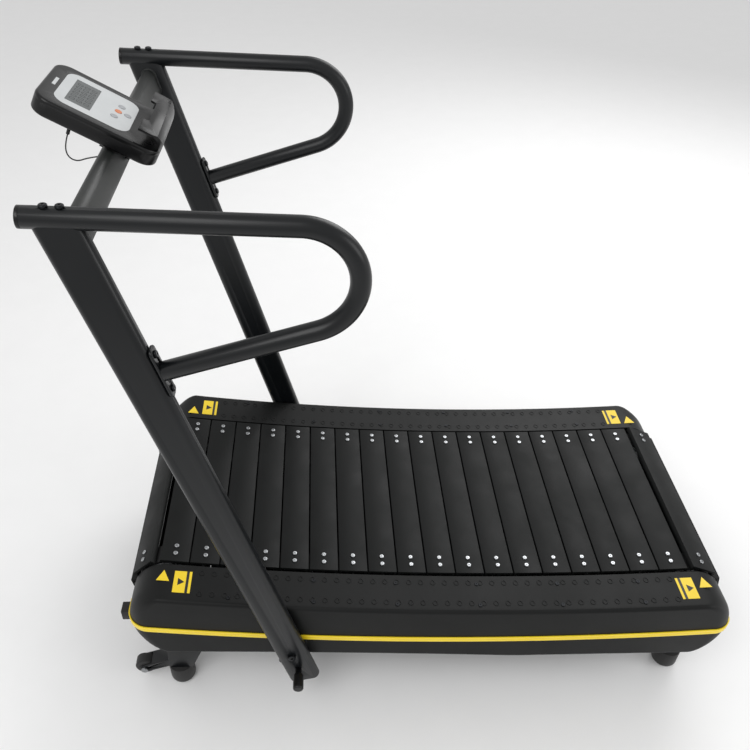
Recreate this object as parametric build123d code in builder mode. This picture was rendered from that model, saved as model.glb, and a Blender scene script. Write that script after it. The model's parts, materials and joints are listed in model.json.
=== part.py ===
from build123d import *
from math import atan2, cos, degrees, pi, radians, sin, sqrt, tan
import os

# Curved manual treadmill: a slat belt on two pulley axles, a folding handrail frame and a display console.
# Millimetres. -X is the front, where the console is, +X the rear, +Y the user's right and +Z up.
# The origin is on the floor, under the middle of the machine.

# ---------------------------------------------------------------- driving sizes
overall_length = 1484.0
pad_overhang = 32.0  # stand pads in front of the side covers
nose_depth = 88.0  # side cover ends beyond the pulley axles

deck_radius = 6320.0  # running surface, seen from the side
deck_low_x = 340.0
deck_low_z = 334.0

slat_length = 508.0  # across the machine
slat_count = 42
slat_gap = 3.5
slat_top = 6.0
slat_rib = 8.0
slat_rib_width = 6.0

belt_thickness = 6.0
belt_width = 48.0
belt_centre_y = 220.0
belt_joint_gap = 6.0  # between the moving runs of the belt
pulley_radius = 70.0
pulley_side_margin = 2.0
pulley_hub_radius = 26.0
axle_radius = 12.5

screw_head_radius = 5.5
screw_head_height = 3.0
screw_shank_radius = 2.9
socket_radius = 1.9
socket_depth = 1.8

cover_gap = 8.0  # slat ends to side covers
cover_width = 104.0
cover_wall = 3.0
cover_drop = 3.0  # cover top below the running surface

trim_height = 15.0
trim_proud = 3.0

cover_screw_pitch = 196.5
cover_screw_columns = 6
cover_screw_first_x = -469.0
cover_screw_radius = 5.0

rail_width = 40.0
rail_height = 70.0
rail_wall = 3.0

track_thickness = 6.0
track_end_inset = 72.0
roller_radius = 15.0
roller_width = 9.0
roller_count = 17
roller_pin_radius = 4.0

tension_bolt_radius = 5.0

foot_radius = 32.0
foot_height = 60.0
foot_edge_radius = 14.0

wheel_x = -714.0
wheel_z = 55.0
wheel_radius = 25.0
wheel_width = 28.0
wheel_axle_radius = 5.0
axle_head_radius = 8.5
fork_plate = 4.0
fork_eye_radius = 13.0

pad_size = 30.0
pad_centre_z = 263.0

lean = 15.15  # uprights, from vertical towards the front
pivot_x = -326.0
pivot_z = 228.0
upright_depth = 75.0
upright_thickness = 30.0
upright_wall = 2.5
upright_tail = 101.0  # below the pivot
lock_offset = 53.0  # locking plunger below the pivot
cap_flange = 3.0
cap_plug = 14.0

pivot_bolt_radius = 6.0
pivot_head_radius = 9.0
pivot_head_height = 5.0

knob_shaft_radius = 5.0
knob_neck_radius = 7.5
knob_head_radius = 12.5
knob_length = 54.0
knob_neck_length = 15.0

crossbar_height = 60.0
crossbar_depth = 30.0
crossbar_wall = 2.0
crossbar_s = 1130.0  # up the upright from the pivot
crossbar_t = -2.0

handrail_radius = 17.5
handrail_wall = 2.5
handrail_top_fall = 2.86
plug_length = 6.0
flange_thickness = 5.0
flange_width = 30.0
flange_height = 104.0
flange_bolt_offset = 37.5
rail_bolt_spacing = 24.0
bolt_head_radius = 7.0
bolt_head_height = 4.5
bolt_shank_radius = 4.0
bolt_socket_radius = 2.1
bolt_depth = 20.0

console_x = -704.0
console_z = 1437.0
console_tilt = 29.3
console_width = 182.0
console_wall = 2.5
console_edge = 5.0
face_length = 138.0
face_width = 140.0
face_corner = 24.0
face_depth = 1.5
face_offset = 3.0
display_length = 46.0
display_width = 102.0
display_x = 38.5
key_proud = 0.8
key_depth = 1.7
ledge_start = 149.0
ledge_end = 189.0
ledge_width = 188.0
ledge_rise = 27.0
ledge_plate = 4.0
ledge_wall = 6.0
ledge_corner = 6.0
ledge_outer_swell = 19.0
ledge_inner_swell = 16.0
notch_width = 92.0
notch_depth = 11.0

relief_radius = 3.2
cable_hole_radius = 1.8

body_clearance = 0.4  # between parts that move past each other
running_clearance = 0.06  # shafts in bores
seat_clearance = 0.1  # fixed pieces in their seats

# ---------------------------------------------------------------- belt and covers
screw_blind_end = 1.0  # screw tip to the belt's inner face
pulley_rim_thickness = 9.0
pulley_web_thickness = 8.0
cover_lip = 25.0  # inner wall beside the slats
cover_corner = 45.0  # seen from above
cover_floor_rim = 13.0  # inward return along the lower edge
cover_open_z = 230.0  # the underside is open up to here
front_nose_height = 105.0
rear_nose_height = 96.0
skirt_mid_x = -200.0
skirt_mid_z = 175.0
skirt_rear_x = 216.0
skirt_rear_z = 148.0
trim_low_x = 267.0
trim_low_z = 228.0
trim_groove = 1.0
trim_inner_y = 290.0  # the strip wraps round the noses to here
cover_screw_rows = (23.0, 83.0)  # from the cover's inner edge
cover_screw_height = 2.0
cover_bracket_length = 24.0
cover_bracket_plate = 4.0
cover_bracket_tab = 76.0
cover_bracket_post = 24.0

# ---------------------------------------------------------------- frame
rail_centre_y = 290.0
rail_drop = 65.0  # rail centre below the pulley axles
rail_front_x = -672.0
rail_rear_x = 680.0
cross_tube_depth = 50.0
cross_tube_height = 30.0
cross_tube_places = (-400.0, 0.0, 400.0)
track_gap = 3.0  # belt edge to roller track
track_drop = 4.0  # track's upper edge below the belt
block_length = 70.0
block_top = 28.0  # above the axle
block_width = 30.0
tension_bolt_length = 60.0
tension_head_length = 6.0
sensor_size = (24.0, 18.0, 16.0)
foot_front = (-622.0, 303.0)
foot_rear = (660.0, 287.0)
front_bracket_top = (-636.0, -521.0)
front_bracket_foot = (-650.0, -590.0)
rear_bracket_top = (612.0, 678.0)
rear_bracket_foot = (636.0, 684.0)
fork_gap = 1.5
fork_eye_z = 84.0
fork_eye_x = -642.0
pad_wall = 2.5
pad_hole_gap = 1.0

# ---------------------------------------------------------------- handrail frame
upright_inner_y = 374.0
mount_front_x = -361.0
mount_rear_x = -291.0
mount_bottom_z = 150.0
mount_top_z = 244.0
mount_corner = 8.0
mount_wall = 4.0
mount_face = 6.0
mount_notch_gap = 2.0
washer_thickness = 3.0
washer_radius = 16.0
mount_face_y = 370.5
plunger_stop = 0.5
handrail_front_x = -681.0
bend_x = -277.6
bend_z = 1254.8
bend_radius = 97.3
handrail_low_rise = 16.8
flange_s = 873.0  # base plate centre, up the upright from the pivot

# ---------------------------------------------------------------- console
console_front = -31.0
console_rear = 199.0
console_depth = 33.0
console_seam = 9.0
console_corner = 30.0
bezel_recess = 1.0
keys = {"key_left": (101.0, -24.0), "key_right": (106.0, 27.0),
        "key_start": (122.0, 2.0), "key_stop": (104.0, 2.0)}
key_radius = 6.5
saddle_front = 96.0
saddle_rear = 154.0
saddle_width = 70.0
saddle_drop = 62.0

# ---------------------------------------------------------------- console cable
cable_radius = 1.25
relief_length = 14.0
cable_route = [(-689.0, -78.0, 1376.0), (-699.0, -77.0, 1355.0), (-699.0, -76.0, 1333.0),
               (-684.0, -75.0, 1323.0), (-662.0, -74.0, 1330.0), (-638.0, -73.0, 1332.0)]
cable_share = 0.45  # of the shorter run, taken by each arc

# ---------------------------------------------------------------- places worked out from them
half_length = overall_length / 2
cover_front_x = -half_length + pad_overhang
front_axle_x = cover_front_x + nose_depth
rear_axle_x = half_length - nose_depth
slat_half = slat_length / 2
slat_thickness = slat_top + slat_rib
outer_radius = pulley_radius + belt_thickness + slat_thickness
pitch_radius = pulley_radius + belt_thickness / 2
pitch_drop = slat_thickness + belt_thickness / 2
cover_inner_y = slat_half + cover_gap
cover_outer_y = cover_inner_y + cover_width
cover_centre_y = (cover_inner_y + cover_outer_y) / 2
rail_outer_y = rail_centre_y + rail_width / 2
rail_inner_y = rail_centre_y - rail_width / 2
upright_centre_y = upright_inner_y + upright_thickness / 2
upright_outer_y = upright_inner_y + upright_thickness
track_y = belt_centre_y + belt_width / 2 + track_gap + track_thickness / 2
deck_centre = Vector(deck_low_x, 0, deck_low_z + deck_radius)
sides = {"left": -1, "right": 1}
screw_pitch_y = 22.0
screw_rows = [side * (belt_centre_y + step * screw_pitch_y / 2) for side in (-1, 1) for step in (-1, 1)]


def deck_point(x, drop=0.0):
    """Point of the arc that runs drop below the running surface."""
    radius = deck_radius + drop
    return Vector(x, 0, deck_centre.Z - sqrt(radius**2 - (x - deck_low_x) ** 2))


def side_plane(y, origin=Vector(0, 0, 0)):
    """Side-view plane at a place across the machine: local x to the rear, local y up."""
    return Plane(origin=(origin.X, y, origin.Z), x_dir=(1, 0, 0), z_dir=(0, -1, 0))


def flat(point):
    """Side-view coordinates of a point."""
    return (point.X, point.Z)


def polar(angle, radius):
    """Side-view vector of a radius, at an angle from +X towards +Z."""
    return Vector(radius * cos(radians(angle)), 0, radius * sin(radians(angle)))


def angle_of(direction):
    """Angle of a side-view direction, from +X towards +Z, in degrees."""
    return degrees(atan2(direction.Z, direction.X))


front_axle_at = deck_point(front_axle_x, outer_radius)
rear_axle_at = deck_point(rear_axle_x, outer_radius)
front_top_angle = angle_of(deck_centre - front_axle_at)
rear_top_angle = angle_of(deck_centre - rear_axle_at)
low_run = front_axle_at - rear_axle_at
run_length = low_run.length
low_run = low_run.normalized()
low_angle = angle_of(low_run) + 90.0
frame_plane = Plane(origin=(front_axle_at + rear_axle_at) * 0.5, x_dir=low_run * -1, z_dir=(0, -1, 0))
top_arc_radius = deck_radius + pitch_drop
top_length = radians(rear_top_angle - front_top_angle) * top_arc_radius
rear_wrap = (rear_top_angle - low_angle) % 360
front_wrap = (low_angle - front_top_angle) % 360
rear_length = radians(rear_wrap) * pitch_radius
front_length = radians(front_wrap) * pitch_radius
loop_length = top_length + rear_length + run_length + front_length
slat_pitch = loop_length / slat_count
slat_width = slat_pitch - slat_gap
first_slat = 6.0  # from the front pulley's upper tangent to the first slat


def top_place(distance):
    """Outer-face plane of the belt at a distance along the top run, local x across the machine."""
    angle = front_top_angle + degrees(distance / top_arc_radius)
    return belt_plane(deck_centre - polar(angle, deck_radius), angle)


def rear_place(distance):
    """The same on the rear pulleys."""
    angle = rear_top_angle - degrees(distance / pitch_radius)
    return belt_plane(rear_axle_at + polar(angle, outer_radius), angle)


def bottom_place(distance):
    """The same on the straight lower run."""
    return belt_plane(rear_axle_at + low_run * distance + polar(low_angle, outer_radius), low_angle)


def front_place(distance):
    """The same on the front pulleys."""
    angle = low_angle - degrees(distance / pitch_radius)
    return belt_plane(front_axle_at + polar(angle, outer_radius), angle)


def belt_plane(point, angle):
    """Plane on the belt's outer face, with local z out of the loop."""
    return Plane(origin=point, x_dir=(0, 1, 0), z_dir=polar(angle, 1))


def spread_slats():
    """Each run's slat planes, in order along the belt."""
    runs = (("top", top_length, top_place), ("rear", rear_length, rear_place),
            ("bottom", run_length, bottom_place), ("front", front_length, front_place))
    spread = {name: [] for name, length, place in runs}
    distance = first_slat
    for name, length, place in runs:
        while distance < length - 1e-6 and sum(map(len, spread.values())) < slat_count:
            spread[name].append(place(distance))
            distance += slat_pitch
        distance -= length
    return spread


slat_planes = spread_slats()

# ---------------------------------------------------------------- handrail frame directions
pivot = Vector(pivot_x, 0, pivot_z)
up_slope = Vector(-sin(radians(lean)), 0, cos(radians(lean)))
out_slope = Vector(cos(radians(lean)), 0, sin(radians(lean)))


def on_upright(s, t):
    """Side-view point, s up the upright from the pivot and t to its rear."""
    return pivot + up_slope * s + out_slope * t


def upright_plane(s, t, y):
    """Plane facing -Y at that point, with local y up the upright."""
    point = on_upright(s, t)
    return Plane(origin=(point.X, y, point.Z), x_dir=out_slope, z_dir=(0, -1, 0))


def rear_face_plane(s, t, y):
    """Plane facing the upright's rear at that point, with local x across the machine."""
    point = on_upright(s, t)
    return Plane(origin=(point.X, y, point.Z), x_dir=(0, 1, 0), z_dir=out_slope)


top_fall = radians(handrail_top_fall)
low_rise = radians(handrail_low_rise)
bend_centre = Vector(bend_x, 0, bend_z)
bend_start = bend_centre + Vector(sin(top_fall), 0, cos(top_fall)) * bend_radius
bend_end = bend_centre + Vector(sin(low_rise), 0, -cos(low_rise)) * bend_radius
bend_middle = bend_centre + polar((90 - handrail_top_fall + handrail_low_rise - 90) / 2, bend_radius)
handrail_front = bend_start - Vector(cos(top_fall), 0, -sin(top_fall)) * (
    (bend_start.X - handrail_front_x) / cos(top_fall))
plate_face = upright_depth / 2 + flange_thickness
handrail_foot = bend_end - Vector(cos(low_rise), 0, sin(low_rise)) * (bend_end.X - on_upright(flange_s, 0).X)


def handrail_top_at(x):
    """Centre of the handrail's top run at a place along the machine."""
    return Vector(x, 0, bend_start.Z + (bend_start.X - x) * tan(top_fall))


console_out = Vector(sin(radians(console_tilt)), 0, cos(radians(console_tilt)))
console_along = Vector(cos(radians(console_tilt)), 0, -sin(radians(console_tilt)))
console_centre = (console_front + console_rear) / 2
console_length = console_rear - console_front


def console_plane(height=0.0, along=0.0, across=0.0):
    """Plane of the console face or one beside it, local x towards the user."""
    origin = Vector(console_x, across, console_z) + console_out * height + console_along * along
    return Plane(origin=origin, x_dir=console_along, z_dir=console_out)


def console_side_plane():
    """Side-view plane through the console, local x towards the user and local y out of its face."""
    return Plane(origin=(console_x, 0, console_z), x_dir=console_along, z_dir=(0, -1, 0))


# ---------------------------------------------------------------- slat belt
def make_one_slat():
    """One ribbed aluminium slat, drilled, its outer face on the XY plane."""
    rib_pitch = (slat_width - slat_rib_width) / 2
    with BuildPart() as slat:
        with BuildSketch(Plane.XY.offset(-slat_top)):
            Rectangle(slat_length, slat_width)
        extrude(amount=slat_top)
        chamfer(slat.faces().sort_by(Axis.Z)[-1].edges().filter_by(Axis.X), 1.0)
        with BuildSketch(Plane.XY.offset(-slat_thickness)):
            with GridLocations(0, rib_pitch, 1, 3):
                Rectangle(slat_length, slat_rib_width)
            Rectangle(slat_length - 2 * (slat_half - belt_centre_y - belt_width / 2), slat_rib_width)
            with Locations(*[(y, 0) for y in screw_rows]):
                Circle(screw_head_radius)
        extrude(amount=slat_rib)
        with Locations(*[(y, 0, 0) for y in screw_rows]):
            Hole(screw_shank_radius + seat_clearance, 2 * slat_thickness)
    return slat.part


def make_one_screw_set():
    """The four socket button-head screws of one slat."""
    shank = slat_thickness + belt_thickness - screw_blind_end
    with BuildPart() as screws:
        with BuildSketch(Plane.XY):
            with Locations(*[(y, 0) for y in screw_rows]):
                Circle(screw_head_radius)
        extrude(amount=screw_head_height)
        fillet(screws.edges().group_by(Axis.Z)[-1], screw_head_height / 2)
        with BuildSketch(Plane.XY.offset(-shank)):
            with Locations(*[(y, 0) for y in screw_rows]):
                Circle(screw_shank_radius)
        extrude(amount=shank)
        with BuildSketch(Plane.XY.offset(screw_head_height - socket_depth)):
            with Locations(*[(y, 0) for y in screw_rows]):
                RegularPolygon(socket_radius, 6)
        extrude(amount=socket_depth, mode=Mode.SUBTRACT)
    return screws.part


def make_slats(run, slat):
    """The slats of one run of the belt."""
    with BuildPart() as slats:
        add([plane.location * slat for plane in slat_planes[run]])
    slats.part.label = f"slats_{run}"
    export_step(slats.part, f"parts/slats_{run}.step")


def make_slat_screws(run, screw_set):
    """The screws of one run of the belt."""
    with BuildPart() as slat_screws:
        add([plane.location * screw_set for plane in slat_planes[run]])
    slat_screws.part.label = f"slat_screws_{run}"
    export_step(slat_screws.part, f"parts/slat_screws_{run}.step")


def drill_belt(run):
    """Screw holes through a run of the belt that is being built."""
    spots = [plane.location * Pos(y, 0, 0) for plane in slat_planes[run] for y in screw_rows]
    with Locations(*spots):
        Hole(screw_shank_radius + seat_clearance, 2 * (slat_thickness + belt_thickness))


def arc_band(inner_drop, outer_drop, start, end):
    """Face between two arcs below the running surface, between distances along the top run."""
    planes = [top_place(start), top_place((start + end) / 2), top_place(end)]
    with BuildLine() as outline:
        upper = ThreePointArc(*[flat(p.origin - p.z_dir * inner_drop) for p in planes])
        lower = ThreePointArc(*[flat(p.origin - p.z_dir * outer_drop) for p in planes])
        Line(upper @ 0, lower @ 0)
        Line(upper @ 1, lower @ 1)
    make_face(outline.edges())


def make_top_belts():
    """The two rubber belts of the top run."""
    with BuildPart() as belts_top:
        for side in sides.values():
            with BuildSketch(side_plane(side * belt_centre_y)):
                arc_band(slat_thickness + seat_clearance, slat_thickness + belt_thickness,
                         belt_joint_gap / 2, top_length - belt_joint_gap / 2)
            extrude(amount=belt_width / 2, both=True)
        drill_belt("top")
    belts_top.part.label = "belts_top"
    export_step(belts_top.part, "parts/belts_top.step")


def make_bottom_belts():
    """The two rubber belts of the lower run."""
    with BuildPart() as belts_bottom:
        for side in sides.values():
            with BuildSketch(Plane(origin=frame_plane.origin + Vector(0, side * belt_centre_y, 0),
                                   x_dir=frame_plane.x_dir, z_dir=frame_plane.z_dir)):
                with Locations((0, -pitch_radius)):
                    Rectangle(run_length - belt_joint_gap, belt_thickness)
            extrude(amount=belt_width / 2, both=True)
        drill_belt("bottom")
    belts_bottom.part.label = "belts_bottom"
    export_step(belts_bottom.part, "parts/belts_bottom.step")


def make_wrapped_belts(run, axle, start_angle, wrap):
    """The two rubber belts round one pair of pulleys, anticlockwise from start_angle."""
    margin = degrees(belt_joint_gap / 2 / pitch_radius)
    with BuildPart() as belts:
        for side in sides.values():
            with BuildSketch(side_plane(side * belt_centre_y, axle)):
                with BuildLine():
                    outer = CenterArc((0, 0), pulley_radius + belt_thickness, start_angle + margin,
                                      wrap - 2 * margin)
                    inner = CenterArc((0, 0), pulley_radius, start_angle + margin, wrap - 2 * margin)
                    Line(outer @ 0, inner @ 0)
                    Line(outer @ 1, inner @ 1)
                make_face()
            extrude(amount=belt_width / 2, both=True)
        drill_belt(run)
    belts.part.label = f"belts_{run}"
    export_step(belts.part, f"parts/belts_{run}.step")


def make_pulleys(run, axle):
    """The two flat pulleys of one axle: rim, web and hub."""
    rim_radius = pulley_radius - body_clearance
    with BuildPart() as pulleys:
        for side in sides.values():
            with BuildSketch(side_plane(side * belt_centre_y, axle)):
                Circle(rim_radius)
                Circle(rim_radius - pulley_rim_thickness, mode=Mode.SUBTRACT)
                Circle(pulley_hub_radius)
                Circle(axle_radius, mode=Mode.SUBTRACT)
            extrude(amount=belt_width / 2 + pulley_side_margin, both=True)
            with BuildSketch(side_plane(side * belt_centre_y, axle)):
                Circle(rim_radius - pulley_rim_thickness / 2)
                Circle(axle_radius, mode=Mode.SUBTRACT)
            extrude(amount=pulley_web_thickness / 2, both=True)
    pulleys.part.label = f"pulleys_{run}"
    export_step(pulleys.part, f"parts/pulleys_{run}.step")


def make_axle(run, axle):
    """Steel axle of one pair of pulleys, in the bearing blocks."""
    with BuildPart() as shaft:
        with BuildSketch(side_plane(0, axle)):
            Circle(axle_radius)
        extrude(amount=rail_centre_y + block_width / 2, both=True)
        chamfer(shaft.edges().filter_by(GeomType.CIRCLE), 1.0)
    shaft.part.label = f"axle_{run}"
    export_step(shaft.part, f"parts/axle_{run}.step")


# ---------------------------------------------------------------- frame
def along_frame(x):
    """Local x of a place along the machine on the frame plane."""
    return (x - frame_plane.origin.X) / frame_plane.x_dir.X


def frame_point(x, height):
    """Side-view point at a height over the line between the axles."""
    return frame_plane.origin + frame_plane.x_dir * along_frame(x) + frame_plane.y_dir * height


def frame_at(y):
    """The frame plane moved across the machine."""
    return Plane(origin=frame_plane.origin + Vector(0, y, 0), x_dir=frame_plane.x_dir,
                 z_dir=frame_plane.z_dir)


def make_side_rails():
    """Rectangular steel tubes along both sides."""
    start = along_frame(rail_front_x)
    end = along_frame(rail_rear_x)
    with BuildPart() as side_rails:
        for side in sides.values():
            with BuildSketch(frame_at(side * rail_centre_y)):
                with Locations(((start + end) / 2, -rail_drop)):
                    Rectangle(end - start, rail_height)
            extrude(amount=rail_width / 2, both=True)
            with BuildSketch(frame_at(side * rail_centre_y)):
                with Locations(((start + end) / 2, -rail_drop)):
                    Rectangle(end - start, rail_height - 2 * rail_wall)
            extrude(amount=rail_width / 2 - rail_wall, both=True, mode=Mode.SUBTRACT)
    side_rails.part.label = "side_rails"
    export_step(side_rails.part, "parts/side_rails.step")


rail_top = rail_height / 2 - rail_drop  # heights over the line between the axles
rail_bottom = -rail_height / 2 - rail_drop


def make_cross_tubes():
    """Rectangular tubes between the side rails, inside the belt loop."""
    spots = [(along_frame(x), rail_top - cross_tube_height / 2) for x in cross_tube_places]
    with BuildPart() as cross_tubes:
        with BuildSketch(frame_at(0)):
            with Locations(*spots):
                Rectangle(cross_tube_depth, cross_tube_height)
                Rectangle(cross_tube_depth - 2 * rail_wall, cross_tube_height - 2 * rail_wall,
                          mode=Mode.SUBTRACT)
        extrude(amount=rail_inner_y, both=True)
    cross_tubes.part.label = "cross_tubes"
    export_step(cross_tubes.part, "parts/cross_tubes.step")


def roller_planes():
    """Belt planes over the track rollers."""
    step = (top_length - 2 * track_end_inset) / (roller_count - 1)
    return [top_place(track_end_inset + number * step) for number in range(roller_count)]


roller_drop = slat_thickness + belt_thickness + body_clearance + roller_radius
roller_spots = [flat(plane.origin - plane.z_dir * roller_drop) for plane in roller_planes()]
roller_y = belt_centre_y + belt_width / 2 - roller_width


def make_roller_tracks():
    """Plates with a curved upper edge, with a welded pin for each roller."""
    ends = [top_place(track_end_inset - roller_radius), top_place(top_length / 2),
            top_place(top_length - track_end_inset + roller_radius)]
    drop = slat_thickness + belt_thickness + track_drop
    with BuildPart() as roller_tracks:
        for side in sides.values():
            with BuildSketch(side_plane(side * track_y)):
                with BuildLine():
                    upper = ThreePointArc(*[flat(p.origin - p.z_dir * drop) for p in ends])
                    front_foot = flat(frame_point((upper @ 0).X, rail_top))
                    rear_foot = flat(frame_point((upper @ 1).X, rail_top))
                    Polyline(upper @ 0, front_foot, rear_foot, upper @ 1)
                make_face()
            extrude(amount=track_thickness / 2, both=True)
            with BuildSketch(side_plane(side * track_y)):
                with Locations(*roller_spots):
                    Circle(roller_pin_radius)
            extrude(amount=side * (track_y - roller_y + roller_width / 2))
    roller_tracks.part.label = "roller_tracks"
    export_step(roller_tracks.part, "parts/roller_tracks.step")


def make_track_rollers():
    """Ball-bearing rollers on the track pins."""
    with BuildPart() as track_rollers:
        for side in sides.values():
            with BuildSketch(side_plane(side * roller_y)):
                with Locations(*roller_spots):
                    Circle(roller_radius)
                    Circle(roller_pin_radius + seat_clearance, mode=Mode.SUBTRACT)
            extrude(amount=roller_width / 2, both=True)
    track_rollers.part.label = "track_rollers"
    export_step(track_rollers.part, "parts/track_rollers.step")


def make_bearing_blocks():
    """Housings on the rails, one at each axle end."""
    with BuildPart() as bearing_blocks:
        for side in sides.values():
            for axle in (front_axle_at, rear_axle_at):
                with BuildSketch(frame_at(side * rail_centre_y)):
                    with Locations((along_frame(axle.X), (block_top + rail_top) / 2)):
                        Rectangle(block_length, block_top - rail_top)
                    with Locations((along_frame(axle.X), 0)):
                        Circle(axle_radius + running_clearance, mode=Mode.SUBTRACT)
                extrude(amount=block_width / 2, both=True)
    bearing_blocks.part.label = "bearing_blocks"
    export_step(bearing_blocks.part, "parts/bearing_blocks.step")


def make_tension_bolts():
    """Belt tension bolts in the front of the front bearing blocks."""
    start = along_frame(front_axle_at.X) + block_length / 2
    height = (block_top + rail_top) / 4
    with BuildPart() as tension_bolts:
        for side in sides.values():
            foot = frame_plane.origin + frame_plane.x_dir * start + frame_plane.y_dir * height
            foot_plane = Plane(origin=foot + Vector(0, side * rail_centre_y, 0), z_dir=frame_plane.x_dir)
            with BuildSketch(foot_plane):
                Circle(tension_bolt_radius)
            extrude(amount=tension_bolt_length)
            with BuildSketch(foot_plane.offset(tension_bolt_length)):
                RegularPolygon(2 * tension_bolt_radius, 6)
            extrude(amount=tension_head_length)
    tension_bolts.part.label = "tension_bolts"
    export_step(tension_bolts.part, "parts/tension_bolts.step")


def make_speed_sensor():
    """Speed pick-up on the left rail, behind the front bearing block."""
    length, width, height = sensor_size
    middle = along_frame(front_axle_at.X) + 3 * block_length
    with BuildPart() as speed_sensor:
        with BuildSketch(frame_at(sides["left"] * rail_centre_y)):
            with Locations((middle, rail_top + height / 2)):
                Rectangle(length, height)
        extrude(amount=width / 2, both=True)
    speed_sensor.part.label = "speed_sensor"
    export_step(speed_sensor.part, "parts/speed_sensor.step")


def foot_outline(top, foot):
    """Outline of a foot bracket from the rail's underside down to its foot."""
    return [(foot[0], foot_height), (foot[1], foot_height),
            flat(frame_point(top[1], rail_bottom)), flat(frame_point(top[0], rail_bottom))]


bracket_width = wheel_width + 2 * (fork_gap + fork_plate)
wheel_y = foot_front[1]


def make_foot_brackets():
    """Box brackets under the rails, the front ones with a wheel fork."""
    with BuildPart() as foot_brackets:
        for side in sides.values():
            for top, foot, y in ((front_bracket_top, front_bracket_foot, foot_front[1]),
                                 (rear_bracket_top, rear_bracket_foot, foot_rear[1])):
                with BuildSketch(side_plane(side * y)):
                    Polygon(*foot_outline(top, foot), align=None)
                extrude(amount=bracket_width / 2, both=True)
            with BuildSketch(side_plane(side * wheel_y)):
                with Locations((wheel_x, wheel_z)):
                    Circle(fork_eye_radius)
                with Locations((fork_eye_x, fork_eye_z)):
                    Circle(fork_eye_radius)
                make_hull()
            extrude(amount=bracket_width / 2, both=True)
            with BuildSketch(side_plane(side * wheel_y)):
                with Locations((wheel_x, wheel_z)):
                    Circle(wheel_radius + 2 * fork_gap)
            extrude(amount=wheel_width / 2 + fork_gap, both=True, mode=Mode.SUBTRACT)
            with BuildSketch(side_plane(side * wheel_y)):
                with Locations((wheel_x, wheel_z)):
                    Circle(wheel_axle_radius)
            extrude(amount=bracket_width, both=True, mode=Mode.SUBTRACT)
    foot_brackets.part.label = "foot_brackets"
    export_step(foot_brackets.part, "parts/foot_brackets.step")


def make_feet():
    """Round rubber feet."""
    with BuildPart() as feet:
        for side in sides.values():
            with BuildSketch(Plane.XY):
                with Locations((foot_front[0], side * foot_front[1]), (foot_rear[0], side * foot_rear[1])):
                    Circle(foot_radius)
            extrude(amount=foot_height)
        fillet(feet.edges().group_by(Axis.Z)[0], foot_edge_radius)
    feet.part.label = "feet"
    export_step(feet.part, "parts/feet.step")


def make_transport_wheel(name, side):
    """One transport wheel with rounded shoulders and a bore."""
    with BuildPart() as wheel:
        with BuildSketch(side_plane(side * wheel_y)):
            with Locations((wheel_x, wheel_z)):
                Circle(wheel_radius)
        extrude(amount=wheel_width / 2, both=True)
        fillet(wheel.edges().filter_by(GeomType.CIRCLE), wheel_width / 7)
        with BuildSketch(side_plane(side * wheel_y)):
            with Locations((wheel_x, wheel_z)):
                Circle(wheel_axle_radius + running_clearance)
        extrude(amount=wheel_width, both=True, mode=Mode.SUBTRACT)
    wheel.part.label = f"transport_wheel_{name}"
    export_step(wheel.part, f"parts/transport_wheel_{name}.step")


def make_wheel_axles():
    """Button-head screws that the transport wheels turn on."""
    outer = wheel_y + bracket_width / 2
    with BuildPart() as wheel_axles:
        for side in sides.values():
            with BuildSketch(side_plane(side * wheel_y)):
                with Locations((wheel_x, wheel_z)):
                    Circle(wheel_axle_radius)
            extrude(amount=bracket_width / 2, both=True)
            with BuildSketch(side_plane(side * outer)):
                with Locations((wheel_x, wheel_z)):
                    Circle(axle_head_radius)
            extrude(amount=-side * wheel_axle_radius)
    wheel_axles.part.label = "wheel_axles"
    export_step(wheel_axles.part, "parts/wheel_axles.step")


def make_stand_pads():
    """Square rubber-tipped posts in the rail ends, which the machine is stood up on."""
    with BuildPart() as stand_pads:
        for side in sides.values():
            front = (-half_length, side * rail_centre_y, pad_centre_z)
            with BuildSketch(Plane(origin=front, z_dir=(1, 0, 0))):
                Rectangle(pad_size, pad_size)
            extrude(amount=rail_front_x + half_length)
        tips = stand_pads.faces().group_by(Axis.X)[0]
        fillet(tips.edges(), pad_wall)
    stand_pads.part.label = "stand_pads"
    export_step(stand_pads.part, "parts/stand_pads.step")


# ---------------------------------------------------------------- covers
front_nose_at = deck_point(front_axle_x, cover_drop) - Vector(0, 0, front_nose_height)
rear_nose_at = deck_point(rear_axle_x, cover_drop) - Vector(0, 0, rear_nose_height)


def cover_outline(inset):
    """Side-view face of a cover, drawn inset from its outer surface."""
    front_top = front_nose_at + Vector(0, 0, front_nose_height - inset)
    rear_top = rear_nose_at + Vector(0, 0, rear_nose_height - inset)
    middle = deck_point((front_axle_x + rear_axle_x) / 2, cover_drop + inset)
    with BuildLine() as outline:
        ThreePointArc(flat(front_top), flat(middle), flat(rear_top))
        EllipticalCenterArc(flat(front_nose_at), nose_depth - inset, front_nose_height - inset, 90,
                            arc_size=180)
        EllipticalCenterArc(flat(rear_nose_at), nose_depth - inset, rear_nose_height - inset, -90,
                            arc_size=180)
        front_low = (front_nose_at.X, front_nose_at.Z - front_nose_height + inset)
        rear_low = (rear_nose_at.X, rear_nose_at.Z - rear_nose_height + inset)
        ThreePointArc(front_low, (skirt_mid_x, skirt_mid_z + inset), (skirt_rear_x, skirt_rear_z + inset))
        Line((skirt_rear_x, skirt_rear_z + inset), rear_low)
    make_face(outline.edges())


def plan_outline(side, inset, mode=Mode.ADD):
    """Plan-view face of a cover, with rounded outer corners, inset from its outer surface."""
    outer = side * (cover_outer_y - inset)
    front = cover_front_x + inset
    rear = half_length - inset
    radius = cover_corner - inset
    with BuildLine() as outline:
        FilletPolyline((front, 0), (front, outer), (rear, outer), (rear, 0), radius=radius)
        Line((front, 0), (rear, 0))
    make_face(outline.edges(), mode=mode)


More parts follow.
